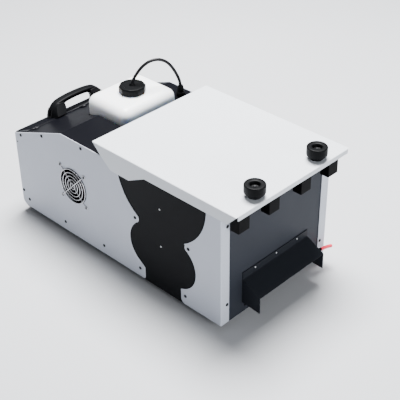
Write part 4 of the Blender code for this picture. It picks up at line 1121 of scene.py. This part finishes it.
guard, given, result = geometry_tree("finger_guard", (
    ("Rings", "NodeSocketInt", 5), ("First Radius", "NodeSocketFloat", 7.0),
    ("Step", "NodeSocketFloat", 7.6), ("Wire", "NodeSocketFloat", 0.85),
    ("Reach", "NodeSocketFloat", 50.6), ("Lift", "NodeSocketFloat", 1.5)))
spots = place(guard, "GeometryNodeMeshLine", {"Count": given.outputs["Rings"],
                                              "Start Location": (0.0, 0.0, 0.0),
                                              "Offset": (0.0, 0.0, 0.0)}, mode="OFFSET")
number = place(guard, "GeometryNodeInputIndex")
widths = maths(guard, "ADD", maths(guard, "MULTIPLY", number.outputs[0], given.outputs["Step"]),
               given.outputs["First Radius"])
one = place(guard, "GeometryNodeCurvePrimitiveCircle", {"Resolution": 56, "Radius": 1.0},
            mode="RADIUS")
rings_made = place(guard, "GeometryNodeInstanceOnPoints",
                   {"Points": spots.outputs[0], "Instance": one.outputs[0],
                    "Scale": vector_of(guard, widths, widths, 1.0)})
wires = place(guard, "GeometryNodeJoinGeometry")
guard.links.new(rings_made.outputs[0], wires.inputs[0])
reach = given.outputs["Reach"]
back_reach = maths(guard, "MULTIPLY", reach, -1.0)
EYE_R = 3.3
for sign in (1.0, -1.0):
    tall = maths(guard, "MULTIPLY", given.outputs["Lift"], sign)
    bar = place(guard, "GeometryNodeCurvePrimitiveLine",
                {"Start": vector_of(guard, back_reach, 0.0, tall),
                 "End": vector_of(guard, reach, 0.0, tall)})
    both_ends = place(guard, "GeometryNodeJoinGeometry")
    guard.links.new(bar.outputs[0], both_ends.inputs[0])
    for end in (1.0, -1.0):
        eye = place(guard, "GeometryNodeCurvePrimitiveCircle", {"Resolution": 20,
                                                                "Radius": EYE_R}, mode="RADIUS")
        out = maths(guard, "MULTIPLY", maths(guard, "ADD", reach, EYE_R), end)
        eye = place(guard, "GeometryNodeTransform",
                    {"Geometry": eye.outputs[0],
                     "Translation": vector_of(guard, out, 0.0, -1.2)})
        guard.links.new(eye.outputs[0], both_ends.inputs[0])
    aslant = math.radians(-45.0 * sign)
    turned_bar = place(guard, "GeometryNodeTransform", {"Geometry": both_ends.outputs[0],
                                                        "Rotation": (0.0, 0.0, aslant)})
    guard.links.new(turned_bar.outputs[0], wires.inputs[0])
loose = place(guard, "GeometryNodeRealizeInstances", {"Geometry": wires.outputs[0]})
even_wire = place(guard, "GeometryNodeSetCurveRadius", {0: loose.outputs[0], "Radius": 1.0})
section = place(guard, "GeometryNodeCurvePrimitiveCircle", {"Resolution": 10,
                                                            "Radius": given.outputs["Wire"]},
                mode="RADIUS")
solid = place(guard, "GeometryNodeCurveToMesh", {"Curve": even_wire.outputs[0],
                                                 "Profile Curve": section.outputs[0],
                                                 "Fill Caps": True})
close_tree(guard, given, result, solid.outputs[0])

chrome = steel_look("chrome_wire", (0.56, 0.56, 0.58), 0.24, depth=0.003)
blank = bpy.data.meshes.new("guard_seed")
blank.from_pydata([(0, 0, 0)], [], [])
wire_guard = grow(guard, blank, {"Rings": 5, "First Radius": 7.0, "Step": 7.6, "Wire": 0.95,
                                 "Reach": 47.2, "Lift": 1.15}, chrome)
FACE_LEFT = Matrix(((0, 0, -1, 0), (1, 0, 0, 0), (0, 1, 0, 0), (0, 0, 0, 1)))
flatten(wire_guard).data.transform(Matrix.Translation((-COVER_X - 1.9, FAN_Y, FAN_Z))
                                   @ FACE_LEFT)
settle(wire_guard, "wire_guard", chrome, "chassis", "fan_guard", turn=60.0)
SCREW_REACH = 35.75
eyes = [((-COVER_X - 0.6, FAN_Y + a * SCREW_REACH, FAN_Z + b * SCREW_REACH), (-1, 0, 0))
        for a in (-1, 1) for b in (-1, 1)]
screw_set("guard_screws", eyes, 3.2, 2.2, black_oxide)

eased("fan_frame", moulded, "chassis", 0.4)
bm = bmesh.new()
BLADES, BLADE_CELLS = 7, 6
for blade in range(BLADES):
    rows = []
    for k in range(BLADE_CELLS + 1):
        r = 14.0 + 22.3 * k / BLADE_CELLS
        pitch = math.radians(52.0 - 22.0 * k / BLADE_CELLS)
        chord = 19.0 - 3.0 * k / BLADE_CELLS
        row = []
        for j in range(BLADE_CELLS + 1):
            s = j / BLADE_CELLS - 0.5
            a = math.tau * blade / BLADES + s * chord * math.cos(pitch) / r * 1.15
            lift = s * chord * math.sin(pitch) + 1.6 * math.cos(math.pi * s)
            row.append((r * math.cos(a), r * math.sin(a), lift))
        rows.append(row)
    layers = [[[bm.verts.new((x, y, z + off)) for x, y, z in row] for row in rows]
              for off in (-0.55, 0.55)]
    for upper, layer in enumerate(layers):
        for a, b in zip(layer, layer[1:]):
            for k in range(BLADE_CELLS):
                quad = (a[k], a[k + 1], b[k + 1], b[k])
                bm.faces.new(quad if upper else quad[::-1])
    rim_a, rim_b = [layer[0] + [row[-1] for row in layer[1:]] + layer[-1][-2::-1]
                    + [row[0] for row in layer[-2:0:-1]] for layer in layers]
    for k in range(len(rim_a)):
        j = (k + 1) % len(rim_a)
        bm.faces.new((rim_a[k], rim_a[j], rim_b[j], rim_b[k]))
blades = draft(bm)
hub = lathe([(0.0, 9.4), (13.6, 9.4), (14.6, 8.8), (15.0, 7.8), (15.0, -9.0), (0.0, -9.0)], 48)


def gathered(objects):
    """Several loose shapes as one working object."""
    bm = bmesh.new()
    for obj in objects:
        bm.from_mesh(obj.data)
        bpy.data.objects.remove(obj, do_unlink=True)
    return draft(bm)


rotor = gathered([blades, hub])
rotor.data.transform(Matrix.Translation((-IN_X + 12.0, FAN_Y, FAN_Z)) @ FACE_LEFT)
settle(rotor, "fan_wheel", moulded, "fan_body", "fan_rotor", turn=40.0)

# ---- Ice chamber -------------------------------------------------------------------------------
# A grey moulded tub with two ledges, a lift-out punched steel grid that the ice lies on, and an
# aluminium duct that brings the hot fog in through the bulkhead.

eased("ice_tub", grey_plastic, width=1.0, steps=3)
eased("ice_grid", plated, width=0.25)
alloy = steel_look("cast_alloy", (0.66, 0.66, 0.68), 0.38, streak=300.0, depth=0.03)
eased("fog_duct", alloy, width=0.3)

# ---- Heater, pump and board --------------------------------------------------------------------
# Works under the roof: a finned alloy heater block in a bright shield, a solenoid pump, a brass
# nozzle, a thermostat and a green control board. They show only through the vents.

brass_look = steel_look("turned_brass", (0.72, 0.52, 0.22), 0.28)
board_green = coat("board_green", (0.012, 0.10, 0.045), (0.02, 0.15, 0.06), 0.34, grain=700.0,
                   rim_wear_highlight=(0.3, 0.28, 0.12), rim_wear_highlight_amount=0.3, clear=0.3)
eased("heater_block", alloy, width=0.5)
eased("nozzle", brass_look, width=0.3)
eased("heat_shield", plated, width=0.25)
eased("thermostat", plated, width=0.4)
eased("pump", grey_plastic, width=0.8)
eased("control_board", board_green, width=0.2)
eased("intake_filter", plated, width=0.5)

# ---- Rubber feet -------------------------------------------------------------------------------
# Four moulded rubber feet, wider at the top, each with a countersunk screw up its middle.

rubber = coat("foot_rubber", (0.011, 0.011, 0.011), (0.018, 0.018, 0.018), 0.72,
              rim_wear_highlight=(0.05, 0.05, 0.05), rim_wear_highlight_amount=0.4, dust=0.1, grain=800.0, depth=0.06)
foot_profile = [(0.0, -2.3), (14.4, -2.3), (15.0, -2.9), (14.7, -4.6), (13.6, -12.6),
                (12.6, -14.0), (7.0, -14.0), (6.2, -13.2), (4.4, -9.0), (0.0, -9.0)]
for k, (x, y) in enumerate(((-118, -108), (118, -108), (-118, 392), (118, 392)), start=1):
    settle(lathe(foot_profile, 48, at=(x, y, 0.0)), f"foot_{k}", rubber, "chassis",
           f"rubber_foot_{k}", turn=40.0)
foot_screws = [((x, y, -9.4), (0, 0, -1)) for x in (-118, 118) for y in (-108, 392)]
screw_set("foot_screws", foot_screws, 3.6, 1.8, zinc)

# ---- Rear fittings -----------------------------------------------------------------------------
# The rear panel carries a dark display with four menu buttons, a mains inlet with its rocker and
# fuse, and a plate with two round control sockets. All are black or grey snap-in mouldings.

for node in ("display_bezel", "rocker_frame", "power_inlet"):
    eased(node, moulded, width=0.5, steps=3)
eased("fuse_cap", moulded, "fuse_body", 0.4)
eased("rocker_switch", moulded, "rocker_body", 0.7)
eased("dmx_socket_plate", grey_plastic, width=0.4)
for k in range(1, 5):
    eased(f"menu_button_{k}", grey_plastic, f"button_{k}_body", 0.5)

glass, tree, shader = finish("display_glass", Coat_Weight=0.6)
dots = place(tree, "ShaderNodeTexChecker", {"Vector": object_place(tree), "Scale": 900.0,
                                            "Color1": (0.006, 0.010, 0.022, 1.0),
                                            "Color2": (0.010, 0.016, 0.032, 1.0)})
film = use(tree, marks, {"Scale": 60.0, "Amount": 0.12})
feed(tree, shader, {"Base Color": dots.outputs[0], "Roughness": maths(tree, "ADD", film, 0.12)})
eased("display_window", glass)

pins = []
PIN_CIRCLE_R = 4.6
for x in SOCKET_X:
    for a in (math.pi / 2, math.pi * 7 / 6, math.pi * 11 / 6):
        pin = lathe([(0.0, 0.0), (1.0, 0.0), (1.0, 9.0), (0.7, 9.8), (0.0, 10.0)], 16)
        pin.data.transform(Matrix.Translation((x + PIN_CIRCLE_R * math.cos(a), 420.4,
                                               SOCKET_Z + PIN_CIRCLE_R * math.sin(a)))
                           @ Matrix.Rotation(-math.pi / 2, 4, "X"))
        pins.append(pin)
settle(gathered(pins), "socket_pins", brass_look, "chassis", turn=40.0)
fittings = [((x, REAR_Y + 2.3, z), (0, 1, 0)) for x, z in
            ((79.5, 46.0), (120.5, 46.0), (-75.0, 56.0), (-75.0, 36.0), (-111.0, 34.0),
             (-39.0, 58.0))]
screw_set("fitting_screws", fittings, 1.9, 0.9, zinc)
